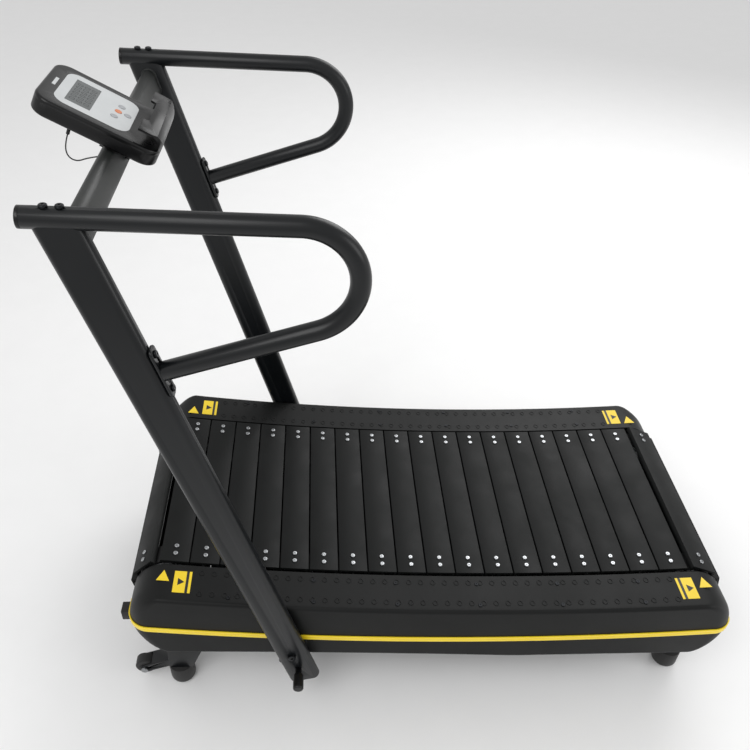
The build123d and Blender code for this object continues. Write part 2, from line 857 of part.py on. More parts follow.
def make_cover_hollow(side):
    """The room inside a side cover, with its open underside."""
    tall = deck_low_z
    with BuildPart() as hollow:
        with BuildSketch(side_plane(side * cover_centre_y)):
            cover_outline(cover_wall)
        extrude(amount=cover_width / 2 - cover_wall, both=True)
        with BuildSketch(Plane.XY):
            plan_outline(side, cover_wall)
        extrude(amount=2 * tall, mode=Mode.INTERSECT)
        with BuildSketch(Plane.XY):
            plan_outline(side, cover_wall + cover_floor_rim)
            with Locations((0, side * cover_inner_y / 2)):
                Rectangle(2 * overall_length, cover_inner_y + 2 * cover_wall, mode=Mode.SUBTRACT)
        extrude(amount=cover_open_z)
        with BuildSketch(side_plane(side * cover_inner_y)):
            cover_outline(cover_lip)
        extrude(amount=2 * cover_wall, both=True)
    return hollow.part


def make_side_cover(name, side):
    """Moulded shell over one side rail, open below and towards the belt."""
    hollow = make_cover_hollow(side)
    with BuildPart() as cover:
        with BuildSketch(side_plane(side * cover_centre_y)):
            cover_outline(0)
        extrude(amount=cover_width / 2, both=True)
        with BuildSketch(Plane.XY):
            plan_outline(side, 0)
        extrude(amount=2 * deck_low_z, mode=Mode.INTERSECT)
        add(hollow, mode=Mode.SUBTRACT)
        with BuildSketch(side_plane(side * cover_outer_y)):
            with Locations(((mount_front_x + mount_rear_x) / 2, (mount_bottom_z + mount_top_z) / 2)):
                Rectangle(mount_rear_x - mount_front_x + 2 * mount_notch_gap,
                          mount_top_z - mount_bottom_z + 2 * mount_notch_gap)
        extrude(amount=cover_outer_y - rail_outer_y, both=True, mode=Mode.SUBTRACT)
        with BuildSketch(Plane(origin=(rail_front_x, side * rail_centre_y, pad_centre_z), z_dir=(-1, 0, 0))):
            Rectangle(pad_size + 2 * pad_hole_gap, pad_size + 2 * pad_hole_gap)
        extrude(amount=overall_length, mode=Mode.SUBTRACT)
        with Locations(*[spot.location for spot in cover_screw_planes(side)]):
            Hole(screw_shank_radius + seat_clearance, 3 * cover_wall)
    cover.part.label = f"side_cover_{name}"
    export_step(cover.part, f"parts/side_cover_{name}.step")


def cover_screw_planes(side):
    """Planes on a cover's top surface where its screws stand."""
    planes = []
    for row, inset in enumerate(cover_screw_rows):
        for column in range(1 - row, cover_screw_columns):
            spot = deck_point(cover_screw_first_x + column * cover_screw_pitch, cover_drop)
            planes.append(Plane(origin=spot + Vector(0, side * (cover_inner_y + inset), 0), x_dir=(0, 1, 0),
                                z_dir=(deck_centre - spot).normalized()))
    return planes


def make_cover_screws():
    """Flat-head socket screws along the covers' tops."""
    planes = cover_screw_planes(sides["left"]) + cover_screw_planes(sides["right"])
    with BuildPart() as one_screw:
        with BuildSketch(Plane.XY):
            Circle(cover_screw_radius)
        extrude(amount=cover_screw_height)
        chamfer(one_screw.edges().group_by(Axis.Z)[-1], cover_screw_height / 3)
        with BuildSketch(Plane.XY.offset(cover_screw_height)):
            RegularPolygon(socket_radius, 6)
        extrude(amount=-cover_screw_height / 2, mode=Mode.SUBTRACT)
        with BuildSketch(Plane.XY.offset(-cover_wall - cover_bracket_plate)):
            Circle(screw_shank_radius)
        extrude(amount=cover_wall + cover_bracket_plate)
    with BuildPart() as cover_screws:
        add([plane.location * one_screw.part for plane in planes])
    cover_screws.part.label = "cover_screws"
    export_step(cover_screws.part, "parts/cover_screws.step")


def make_cover_brackets():
    """Angle brackets from the rails up to the covers, one for each column of screws."""
    centre_y = cover_inner_y + cover_screw_rows[0]
    half = cover_bracket_length / 2
    with BuildPart() as cover_brackets:
        for side in sides.values():
            for column in range(cover_screw_columns):
                x = cover_screw_first_x + column * cover_screw_pitch
                depth = cover_drop + cover_wall + seat_clearance
                upper = [deck_point(x + step * half, depth) for step in (-1, 1)]
                plate = [point - Vector(0, 0, cover_bracket_plate) for point in reversed(upper)]
                rail = [frame_point(point.X, rail_top) for point in plate]
                with BuildSketch(side_plane(side * (centre_y - cover_bracket_post / 2))):
                    Polygon(*[flat(point) for point in upper + plate], align=None)
                extrude(amount=-side * cover_bracket_tab)
                with BuildSketch(side_plane(side * (centre_y + cover_bracket_post / 2))):
                    Polygon(*[flat(point) for point in upper + rail], align=None)
                extrude(amount=side * cover_bracket_plate)
            with Locations(*[spot.location for spot in cover_screw_planes(side)]):
                Hole(screw_shank_radius + seat_clearance, 3 * (cover_wall + cover_bracket_plate))
    cover_brackets.part.label = "cover_brackets"
    export_step(cover_brackets.part, "parts/cover_brackets.step")


def trim_at(x):
    """Centre line of the trim strip, which curves like the running surface."""
    return x, trim_low_z + deck_radius - sqrt(deck_radius**2 - (x - trim_low_x) ** 2)


def trim_band(height):
    """Side-view face of a curved strip along the covers."""
    reach = [trim_at(x) for x in (-half_length, trim_low_x, half_length)]
    with BuildLine() as outline:
        upper = ThreePointArc(*[(x, z + height / 2) for x, z in reach])
        lower = ThreePointArc(*[(x, z - height / 2) for x, z in reach])
        Line(upper @ 0, lower @ 0)
        Line(upper @ 1, lower @ 1)
    make_face(outline.edges())


def make_trim_strips():
    """Raised strip round the outside of each cover, with a groove along its middle."""
    with BuildPart() as trim_strips:
        for side in sides.values():
            with BuildSketch(Plane.XY):
                plan_outline(side, -trim_proud)
                plan_outline(side, -seat_clearance, Mode.SUBTRACT)
                with Locations((0, side * trim_inner_y / 2)):
                    Rectangle(2 * overall_length, trim_inner_y, mode=Mode.SUBTRACT)
            extrude(amount=deck_low_z + front_nose_height)
        with BuildSketch(side_plane(0)):
            trim_band(trim_height)
        extrude(amount=overall_length, both=True, mode=Mode.INTERSECT)
        for side in sides.values():
            with BuildSketch(side_plane(side * (cover_outer_y + trim_proud))):
                trim_band(trim_groove)
            extrude(amount=trim_groove, both=True, mode=Mode.SUBTRACT)
    trim_strips.part.label = "trim_strips"
    export_step(trim_strips.part, "parts/trim_strips.step")


# ---------------------------------------------------------------- upright mounts
def make_upright_mounts():
    """Box brackets on the rails that the uprights fold on, with detents for the pull knobs."""
    width = mount_rear_x - mount_front_x
    height = mount_top_z - mount_bottom_z
    centre = Vector((mount_front_x + mount_rear_x) / 2, 0, (mount_bottom_z + mount_top_z) / 2)
    lock = on_upright(-lock_offset, 0)
    with BuildPart() as upright_mounts:
        for side in sides.values():
            with BuildSketch(side_plane(side * rail_outer_y, centre)):
                RectangleRounded(width, height, mount_corner)
            extrude(amount=side * (rail_outer_y - mount_face_y))
            with BuildSketch(side_plane(side * rail_outer_y, centre)):
                RectangleRounded(width - 2 * mount_wall, height - 2 * mount_wall, mount_wall)
            extrude(amount=side * (rail_outer_y - mount_face_y + mount_face), mode=Mode.SUBTRACT)
            with BuildSketch(side_plane(side * mount_face_y)):
                with Locations(flat(lock)):
                    Circle(knob_shaft_radius + seat_clearance)
                with Locations(flat(pivot)):
                    Circle(pivot_bolt_radius)
            extrude(amount=mount_face, both=True, mode=Mode.SUBTRACT)
    upright_mounts.part.label = "upright_mounts"
    export_step(upright_mounts.part, "parts/upright_mounts.step")


def make_pivot_bolts():
    """Bolts that the uprights fold on."""
    head_y = upright_outer_y + body_clearance
    with BuildPart() as pivot_bolts:
        for side in sides.values():
            with BuildSketch(side_plane(side * head_y, pivot)):
                Circle(pivot_bolt_radius)
            extrude(amount=side * (head_y - mount_face_y + 2 * mount_face))
            with BuildSketch(side_plane(side * head_y, pivot)):
                Circle(pivot_head_radius)
            extrude(amount=-side * pivot_head_height)
            with BuildSketch(side_plane(side * (head_y + pivot_head_height), pivot)):
                RegularPolygon(pivot_bolt_radius / 2, 6)
            extrude(amount=side * pivot_head_height / 2, mode=Mode.SUBTRACT)
    pivot_bolts.part.label = "pivot_bolts"
    export_step(pivot_bolts.part, "parts/pivot_bolts.step")


def make_pivot_washers():
    """Washers between the brackets and the uprights."""
    with BuildPart() as pivot_washers:
        for side in sides.values():
            with BuildSketch(side_plane(side * mount_face_y, pivot)):
                Circle(washer_radius)
                Circle(pivot_bolt_radius + seat_clearance, mode=Mode.SUBTRACT)
            extrude(amount=-side * washer_thickness)
    pivot_washers.part.label = "pivot_washers"
    export_step(pivot_washers.part, "parts/pivot_washers.step")


# ---------------------------------------------------------------- handrail frame
upright_bottom = -upright_tail
handrail_up = Vector(sin(top_fall), 0, cos(top_fall))
upright_top = (handrail_top_at(pivot_x) - pivot).dot(handrail_up) / up_slope.dot(handrail_up)
flange_bolt_s = [flange_s + step * flange_bolt_offset for step in (-1, 1)]
top_bolt_x = [on_upright(upright_top, 0).X + step * rail_bolt_spacing / 2 for step in (-1, 1)]


def make_upright(name, side):
    """Obround steel tube from the pivot up to the handrail, saddle-cut at its top."""
    axis_plane = Plane(origin=on_upright(upright_bottom, 0) + Vector(0, side * upright_centre_y, 0),
                       x_dir=out_slope, z_dir=up_slope)
    with BuildPart() as upright:
        with BuildSketch(axis_plane):
            SlotOverall(upright_depth, upright_thickness)
            SlotOverall(upright_depth - 2 * upright_wall, upright_thickness - 2 * upright_wall,
                        mode=Mode.SUBTRACT)
        extrude(amount=upright_top - upright_bottom)
        top_run = Plane(origin=handrail_front + Vector(0, side * upright_centre_y, 0),
                        z_dir=(bend_start - handrail_front).normalized())
        with BuildSketch(top_run):
            Circle(handrail_radius)
        extrude(amount=overall_length / 2, mode=Mode.SUBTRACT)
        with BuildSketch(side_plane(side * upright_centre_y, pivot)):
            Circle(pivot_bolt_radius + running_clearance)
        extrude(amount=upright_thickness, both=True, mode=Mode.SUBTRACT)
        with BuildSketch(side_plane(side * upright_centre_y, on_upright(-lock_offset, 0))):
            Circle(knob_shaft_radius + running_clearance)
        extrude(amount=upright_thickness, both=True, mode=Mode.SUBTRACT)
        for s in flange_bolt_s:
            with BuildSketch(rear_face_plane(s, upright_depth / 2, side * upright_centre_y)):
                Circle(bolt_shank_radius + seat_clearance)
            extrude(amount=-bolt_depth, mode=Mode.SUBTRACT)
    upright.part.label = f"upright_{name}"
    export_step(upright.part, f"parts/upright_{name}.step")


def make_end_caps():
    """Plastic caps in the uprights' lower ends and in the handrails' front ends."""
    with BuildPart() as end_caps:
        for side in sides.values():
            foot = on_upright(upright_bottom, 0) + Vector(0, side * upright_centre_y, 0)
            with BuildSketch(Plane(origin=foot, x_dir=out_slope, z_dir=up_slope)):
                SlotOverall(upright_depth - 2 * (upright_wall + seat_clearance),
                            upright_thickness - 2 * (upright_wall + seat_clearance))
            extrude(amount=cap_plug)
            with BuildSketch(Plane(origin=foot, x_dir=out_slope, z_dir=up_slope)):
                SlotOverall(upright_depth, upright_thickness)
            extrude(amount=-cap_flange)
            front = handrail_front + Vector(0, side * upright_centre_y, 0)
            with BuildSketch(Plane(origin=front, z_dir=(bend_start - handrail_front).normalized())):
                Circle(handrail_radius - handrail_wall - seat_clearance)
            extrude(amount=cap_plug)
            with BuildSketch(Plane(origin=front, z_dir=(handrail_front - bend_start).normalized())):
                Circle(handrail_radius)
            extrude(amount=plug_length)
    end_caps.part.label = "end_caps"
    export_step(end_caps.part, "parts/end_caps.step")


def make_crossbar():
    """Obround tube between the uprights, under the console."""
    with BuildPart() as crossbar:
        with BuildSketch(upright_plane(crossbar_s, crossbar_t, 0)):
            SlotOverall(crossbar_height, crossbar_depth, rotation=90)
            SlotOverall(crossbar_height - 2 * crossbar_wall, crossbar_depth - 2 * crossbar_wall, rotation=90,
                        mode=Mode.SUBTRACT)
        extrude(amount=upright_inner_y, both=True)
        end = Vector(*cable_route[-1])
        with BuildSketch(Plane(origin=end, z_dir=(Vector(*cable_route[-2]) - end).normalized())):
            Circle(cable_hole_radius)
        extrude(amount=crossbar_depth / 3, both=True, mode=Mode.SUBTRACT)
    crossbar.part.label = "crossbar"
    export_step(crossbar.part, "parts/crossbar.step")


def make_handrail(name, side):
    """Bent tube that runs back from the upright's top and returns to its rear face."""
    across = Vector(0, side * upright_centre_y, 0)
    with BuildPart() as handrail:
        with BuildLine() as path:
            Line(handrail_front + across, bend_start + across)
            ThreePointArc(bend_start + across, bend_middle + across, bend_end + across)
            Line(bend_end + across, handrail_foot + across)
        with BuildSketch(Plane(origin=handrail_front + across, z_dir=bend_start - handrail_front)):
            Circle(handrail_radius)
            Circle(handrail_radius - handrail_wall, mode=Mode.SUBTRACT)
        sweep(path=path.wires()[0])
        with BuildSketch(rear_face_plane(flange_s, plate_face, side * upright_centre_y)):
            Rectangle(2 * flange_width, flange_height)
        extrude(amount=-upright_depth, mode=Mode.SUBTRACT)
        for x in top_bolt_x:
            with BuildSketch(Plane(origin=handrail_top_at(x) + across, z_dir=handrail_up)):
                Circle(bolt_shank_radius + seat_clearance)
            extrude(amount=2 * handrail_radius, both=True, mode=Mode.SUBTRACT)
    handrail.part.label = f"handrail_{name}"
    export_step(handrail.part, f"parts/handrail_{name}.step")


def make_base_plates():
    """Welded plates that bolt the handrails' lower ends to the uprights."""
    with BuildPart() as base_plates:
        for side in sides.values():
            with BuildSketch(rear_face_plane(flange_s, upright_depth / 2, side * upright_centre_y)):
                RectangleRounded(flange_width, flange_height, flange_width / 3)
                with Locations((0, -flange_bolt_offset), (0, flange_bolt_offset)):
                    Circle(bolt_shank_radius + seat_clearance, mode=Mode.SUBTRACT)
            extrude(amount=flange_thickness)
    base_plates.part.label = "base_plates"
    export_step(base_plates.part, "parts/base_plates.step")


def make_handrail_bolts():
    """Button-head socket bolts through the handrails and through their base plates."""
    with BuildPart() as one_bolt:
        with BuildSketch(Plane.XY):
            Circle(bolt_head_radius)
        extrude(amount=bolt_head_height)
        fillet(one_bolt.edges().group_by(Axis.Z)[-1], bolt_head_height / 2)
        with BuildSketch(Plane.XY.offset(bolt_head_height)):
            RegularPolygon(bolt_socket_radius, 6)
        extrude(amount=-bolt_head_height / 2, mode=Mode.SUBTRACT)
        with BuildSketch(Plane.XY.offset(-bolt_depth)):
            Circle(bolt_shank_radius)
        extrude(amount=bolt_depth)
    seats = []
    for side in sides.values():
        crest = Vector(0, side * upright_centre_y, 0) + handrail_up * (handrail_radius + seat_clearance)
        seats += [Plane(origin=handrail_top_at(x) + crest, z_dir=handrail_up) for x in top_bolt_x]
        seats += [rear_face_plane(s, plate_face, side * upright_centre_y) for s in flange_bolt_s]
    with BuildPart() as handrail_bolts:
        add([seat.location * one_bolt.part for seat in seats])
    handrail_bolts.part.label = "handrail_bolts"
    export_step(handrail_bolts.part, "parts/handrail_bolts.step")


def make_pull_knob(name, side):
    """Sprung pull knob whose plunger locks the upright."""
    lock = on_upright(-lock_offset, 0)
    tip_y = mount_face_y + plunger_stop
    collar_y = upright_outer_y + body_clearance
    head_y = collar_y + knob_neck_length
    with BuildPart() as knob:
        with BuildSketch(side_plane(side * tip_y, lock)):
            Circle(knob_shaft_radius)
        extrude(amount=-side * (head_y - tip_y))
        with BuildSketch(side_plane(side * collar_y, lock)):
            Circle(knob_neck_radius)
        extrude(amount=-side * knob_neck_length)
        with BuildSketch(side_plane(side * head_y, lock)):
            Circle(knob_head_radius)
        extrude(amount=-side * (knob_length - knob_neck_length))
        rims = knob.edges().filter_by(GeomType.CIRCLE).filter_by(lambda edge: edge.radius == knob_head_radius)
        fillet(rims, knob_head_radius / 3)
    knob.part.label = f"pull_knob_{name}"
    export_step(knob.part, f"parts/pull_knob_{name}.step")


# ---------------------------------------------------------------- console
cable_leaving = (Vector(*cable_route[1]) - Vector(*cable_route[0])).normalized()
relief_plane = Plane(origin=Vector(*cable_route[0]) - cable_leaving * relief_length, z_dir=cable_leaving)


def console_blank(radius_loss=0.0):
    """Plan shape of the console, drawn inset."""
    with Locations((console_centre, 0)):
        RectangleRounded(console_length - 2 * radius_loss, console_width - 2 * radius_loss,
                         console_corner - radius_loss)


def make_console_shell():
    """Moulded back of the console."""
    with BuildPart() as console_shell:
        with BuildSketch(console_plane(-console_depth)):
            console_blank()
        extrude(amount=console_depth - console_seam)
        fillet(console_shell.faces().sort_by(Axis(console_plane().origin, console_out))[0].edges(),
               console_edge)
        with BuildSketch(console_plane(-console_depth + console_wall)):
            console_blank(console_wall)
        extrude(amount=console_depth, mode=Mode.SUBTRACT)
        with BuildSketch(relief_plane):
            Circle(relief_radius + seat_clearance)
        extrude(amount=relief_length, mode=Mode.SUBTRACT)
    console_shell.part.label = "console_shell"
    export_step(console_shell.part, "parts/console_shell.step")


def make_console_bezel():
    """Front frame of the console, with the pocket for its face panel."""
    with BuildPart() as console_bezel:
        with BuildSketch(console_plane(-console_seam)):
            console_blank()
        extrude(amount=console_seam)
        fillet(console_bezel.faces().sort_by(Axis(console_plane().origin, console_out))[-1].edges(),
               console_edge)
        with BuildSketch(console_plane(-console_seam)):
            console_blank(console_wall)
        extrude(amount=console_seam - 2 * console_wall, mode=Mode.SUBTRACT)
        with BuildSketch(console_plane()):
            face_shape(seat_clearance)
        extrude(amount=-face_depth, mode=Mode.SUBTRACT)
        with BuildSketch(console_plane()):
            display_shape(seat_clearance)
            with Locations(*keys.values()):
                Circle(key_radius + body_clearance)
        extrude(amount=-console_seam, mode=Mode.SUBTRACT)
    console_bezel.part.label = "console_bezel"
    export_step(console_bezel.part, "parts/console_bezel.step")


def face_shape(gap):
    """Outline of the face panel, or of its pocket."""
    with Locations((face_length / 2 - face_offset, 0)):
        RectangleRounded(face_length + 2 * gap, face_width + 2 * gap, face_corner)


def display_shape(gap):
    """Outline of the display, or of its window."""
    with Locations((display_x, 0)):
        RectangleRounded(display_length + 2 * gap, display_width + 2 * gap, face_depth + gap)


def make_console_face():
    """Silver face panel with its window and key holes."""
    with BuildPart() as console_face:
        with BuildSketch(console_plane()):
            face_shape(0)
        extrude(amount=-face_depth)
        with BuildSketch(console_plane()):
            display_shape(seat_clearance)
            with Locations(*keys.values()):
                Circle(key_radius + body_clearance)
        extrude(amount=-console_seam, mode=Mode.SUBTRACT)
    console_face.part.label = "console_face"
    export_step(console_face.part, "parts/console_face.step")


def make_console_display():
    """Display behind the window."""
    with BuildPart() as console_display:
        with BuildSketch(console_plane(-bezel_recess / 2)):
            display_shape(0)
        extrude(amount=-console_wall * 2)
    console_display.part.label = "console_display"
    export_step(console_display.part, "parts/console_display.step")


def make_key(name, spot):
    """One round key, proud of the face."""
    with BuildPart() as key:
        with BuildSketch(console_plane(key_proud)):
            with Locations(spot):
                Circle(key_radius)
        extrude(amount=-key_proud - key_depth)
    key.part.label = name
    export_step(key.part, f"parts/{name}.step")


def make_device_ledge():
    """Overhanging ledge across the console's user end, for a phone or tablet."""
    with BuildPart() as device_ledge:
        with BuildSketch(console_side_plane()):
            with BuildLine():
                inner_wall = console_rear - ledge_wall
                outer = ThreePointArc((console_rear, 0), (ledge_end + ledge_wall, ledge_outer_swell),
                                      (ledge_end - ledge_wall, ledge_rise + ledge_plate))
                inner = ThreePointArc((inner_wall, 0), (ledge_end, ledge_inner_swell),
                                      (ledge_end - 2 * ledge_wall, ledge_rise))
                Polyline(outer @ 1, (ledge_start, ledge_rise + ledge_plate), (ledge_start, ledge_rise),
                         inner @ 1)
                Line(outer @ 0, inner @ 0)
            make_face()
        extrude(amount=ledge_width / 2, both=True)
        with BuildSketch(console_plane()):
            with Locations(((ledge_start + console_rear) / 2 - ledge_width / 4, 0)):
                RectangleRounded(console_rear - ledge_start + ledge_width / 2, ledge_width, console_corner)
        extrude(amount=2 * ledge_rise, mode=Mode.INTERSECT)
        with BuildSketch(console_plane()):
            with Locations((ledge_start, 0)):
                RectangleRounded(2 * notch_depth, notch_width, ledge_corner)
        extrude(amount=2 * ledge_rise, mode=Mode.SUBTRACT)
    device_ledge.part.label = "device_ledge"
    export_step(device_ledge.part, "parts/device_ledge.step")


def make_console_saddle():
    """Welded bracket between the crossbar and the console."""
    length = saddle_rear - saddle_front
    with BuildPart() as console_saddle:
        with BuildSketch(console_side_plane()):
            with Locations(((saddle_front + saddle_rear) / 2, -(saddle_drop + console_depth) / 2)):
                Rectangle(length, saddle_drop - console_depth)
        extrude(amount=saddle_width / 2, both=True)
        with BuildSketch(upright_plane(crossbar_s, crossbar_t, 0)):
            SlotOverall(crossbar_height, crossbar_depth, rotation=90)
        extrude(amount=saddle_width, both=True, mode=Mode.SUBTRACT)
    console_saddle.part.label = "console_saddle"
    export_step(console_saddle.part, "parts/console_saddle.step")


# ---------------------------------------------------------------- console cable
def cable_radii():
    """Arc radius at each corner of the cable's route."""
    points = [Vector(*point) for point in cable_route]
    radii = []
    for before, corner, after in zip(points, points[1:], points[2:]):
        turn = radians((corner - before).get_angle(after - corner))
        shorter = min((corner - before).length, (after - corner).length)
        radii.append(cable_share * shorter / tan(turn / 2))
    return radii


def make_cable_relief():
    """Strain relief where the cable leaves the console."""
    with BuildPart() as cable_relief:
        with BuildSketch(relief_plane):
            Circle(relief_radius)
        extrude(amount=relief_length)
    cable_relief.part.label = "cable_relief"
    export_step(cable_relief.part, "parts/cable_relief.step")


def make_console_cable():
    """The cable from the console down to the crossbar."""
    radii = cable_radii()
    with BuildPart() as console_cable:
        with BuildLine() as route:
            FilletPolyline(*cable_route, radius=radii)
        path = route.wires()[0]
        with BuildSketch(Plane(origin=cable_route[0], z_dir=path % 0)):
            Circle(cable_radius)
        sweep(path=path)
    print("cable radii", [round(radius, 1) for radius in radii], "length", round(path.length, 1))
    section_volume = pi * cable_radius**2 * path.length
    print("cable volume over section times length", round(console_cable.part.volume / section_volume, 4))
    console_cable.part.label = "console_cable"
    export_step(console_cable.part, "parts/console_cable.step")


# ---------------------------------------------------------------- build
def build_frame():
    """Everything that stands still."""
    make_side_rails()
    make_cross_tubes()
    make_roller_tracks()
    make_track_rollers()
    make_bearing_blocks()
    make_tension_bolts()
    make_speed_sensor()
    make_foot_brackets()
    make_feet()
    make_wheel_axles()
    make_stand_pads()
    make_cover_screws()
    make_cover_brackets()
    make_trim_strips()
    make_upright_mounts()
    make_pivot_bolts()
    make_pivot_washers()


def build_belt():
    """The slat belt with its pulleys and axles."""
    slat = make_one_slat()
    screw_set = make_one_screw_set()
    for run in slat_planes:
        make_slats(run, slat)
        make_slat_screws(run, screw_set)
    make_top_belts()
    make_bottom_belts()
    make_wrapped_belts("front", front_axle_at, front_top_angle, front_wrap)
    make_wrapped_belts("rear", rear_axle_at, low_angle, rear_wrap)
    for run, axle in (("front", front_axle_at), ("rear", rear_axle_at)):
        make_pulleys(run, axle)
        make_axle(run, axle)


def build_handrail_frame():
    """The folding frame and the console on it."""
    make_end_caps()
    make_crossbar()
    make_base_plates()
    make_handrail_bolts()
    make_console_shell()
    make_console_bezel()
    make_console_face()
    make_console_display()
    make_device_ledge()
    make_console_saddle()
    make_cable_relief()
    make_console_cable()
    for name, spot in keys.items():
        make_key(name, spot)


os.makedirs("parts", exist_ok=True)
build_frame()
build_belt()
build_handrail_frame()
for name, side in sides.items():
    make_side_cover(name, side)
    make_transport_wheel(name, side)
    make_upright(name, side)
    make_handrail(name, side)
    make_pull_knob(name, side)
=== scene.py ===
"""Studio scene of a curved manual treadmill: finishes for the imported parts, and the small pieces on them.

Everything is in metres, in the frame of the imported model: -X is the front, +Y the user's right, +Z up.
"""
import json
import logging
import math
from dataclasses import dataclass
from enum import Enum

import bmesh
import bpy
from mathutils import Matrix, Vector


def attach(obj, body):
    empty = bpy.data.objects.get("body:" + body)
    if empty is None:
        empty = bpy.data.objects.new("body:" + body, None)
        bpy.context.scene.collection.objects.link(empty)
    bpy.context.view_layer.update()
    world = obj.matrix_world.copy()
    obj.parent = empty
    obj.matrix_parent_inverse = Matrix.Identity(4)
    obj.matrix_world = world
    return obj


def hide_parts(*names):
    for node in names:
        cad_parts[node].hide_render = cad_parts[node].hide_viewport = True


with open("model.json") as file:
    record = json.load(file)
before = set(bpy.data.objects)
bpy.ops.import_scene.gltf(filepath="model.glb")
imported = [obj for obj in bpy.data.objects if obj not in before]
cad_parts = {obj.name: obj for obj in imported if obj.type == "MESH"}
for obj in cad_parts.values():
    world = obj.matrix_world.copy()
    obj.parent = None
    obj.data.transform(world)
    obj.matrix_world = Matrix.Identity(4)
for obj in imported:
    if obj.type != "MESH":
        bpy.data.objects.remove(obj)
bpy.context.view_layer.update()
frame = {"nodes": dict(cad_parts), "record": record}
MM = 0.001
WELD_REACH = 0.00002
log = logging.getLogger("treadmill")


# ---------------------------------------------------------------- small helpers
def linear(hex_colour: str) -> tuple[float, float, float, float]:
    """Turns an sRGB hex colour into linear values.

    Args:
        hex_colour: a colour such as "#1b1e21".

    Returns:
        Red, green, blue and an alpha of 1.
    """
    parts = [int(hex_colour[i:i + 2], 16) / 255 for i in (1, 3, 5)]
    return (*[v / 12.92 if v <= 0.04045 else ((v + 0.055) / 1.055) ** 2.4 for v in parts], 1.0)


def add_node(tree: bpy.types.NodeTree, kind: str, links: dict[str, bpy.types.NodeSocket] | None = None,
             values: dict[str, object] | None = None, **settings: object) -> bpy.types.Node:
    """Adds a shader node with its settings, socket values and links.

    Args:
        tree: the material's node tree.
        kind: the node's type name.
        links: the sockets that feed its inputs, by input name.
        values: constant values of its inputs, by input name.
        settings: the node's own properties.

    Returns:
        The new node.
    """
    node = tree.nodes.new(kind)
    for key, value in settings.items():
        setattr(node, key, value)
    for key, value in (values or {}).items():
        node.inputs[key].default_value = value
    for key, socket in (links or {}).items():
        tree.links.new(socket, node.inputs[key])
    return node


def mesh_piece(name: str, work: bmesh.types.BMesh, body: str, finish: "Finish") -> bpy.types.Object:
    """Turns finished mesh work into a piece that rides on a body.

    Args:
        name: the piece's name.
        work: the mesh, which is freed.
        body: the CAD body that it rides on.
        finish: its finish.

    Returns:
        The new object.
    """
    bmesh.ops.recalc_face_normals(work, faces=work.faces)
    data = bpy.data.meshes.new(name)
    work.to_mesh(data)
    work.free()
    piece = bpy.data.objects.new(name, data)
    bpy.context.scene.collection.objects.link(piece)
    piece.data.materials.append(finish.material())
    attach(piece, body)
    log.info("%s rides on %s", name, body)
    return piece


def soften(piece: bpy.types.Object, width: float, angle: float = 32.0, segments: int = 2) -> None:
    """Rounds a piece's sharp edges and smooths its round faces.

    Args:
        piece: the object.
        width: the size of the rounding, in metres.
        angle: edges sharper than this, in degrees, are rounded.
        segments: how many faces make each rounding.
    """
    weld = piece.modifiers.new("joined_corners", "WELD")
    weld.merge_threshold = WELD_REACH
    bevel = piece.modifiers.new("eased_edges", "BEVEL")
    bevel.width = width
    bevel.segments = segments
    bevel.limit_method = "ANGLE"
    bevel.angle_limit = math.radians(angle)
    bevel.harden_normals = True
    for polygon in piece.data.polygons:
        polygon.use_smooth = True


def smooth_faces(piece: bpy.types.Object, angle: float) -> None:
    """Smooths a piece's round faces and keeps the edges sharper than angle, in degrees.

    Args:
        piece: the object.
        angle: edges sharper than this, in degrees, stay sharp.
    """
    for polygon in piece.data.polygons:
        polygon.use_smooth = True
    split = piece.modifiers.new("sharp_corners", "EDGE_SPLIT")
    split.split_angle = math.radians(angle)


def prism(work: bmesh.types.BMesh, outline: list[Vector], rise: Vector) -> None:
    """Adds a closed prism to a mesh.

    Args:
        work: the mesh.
        outline: the corners of its foot, in order.
        rise: from its foot to its top.
    """
    low = [work.verts.new(point) for point in outline]
    high = [work.verts.new(point + rise) for point in outline]
    work.faces.new(low)
    work.faces.new(high)
    for i in range(len(outline)):
        j = (i + 1) % len(outline)
        work.faces.new((low[i], low[j], high[j], high[i]))


# ---------------------------------------------------------------- finishes
class Grain(Enum):
    """How a surface's fine texture runs."""

    PEBBLED = "voronoi"
    EVEN = "noise"
    DRAWN = "drawn"


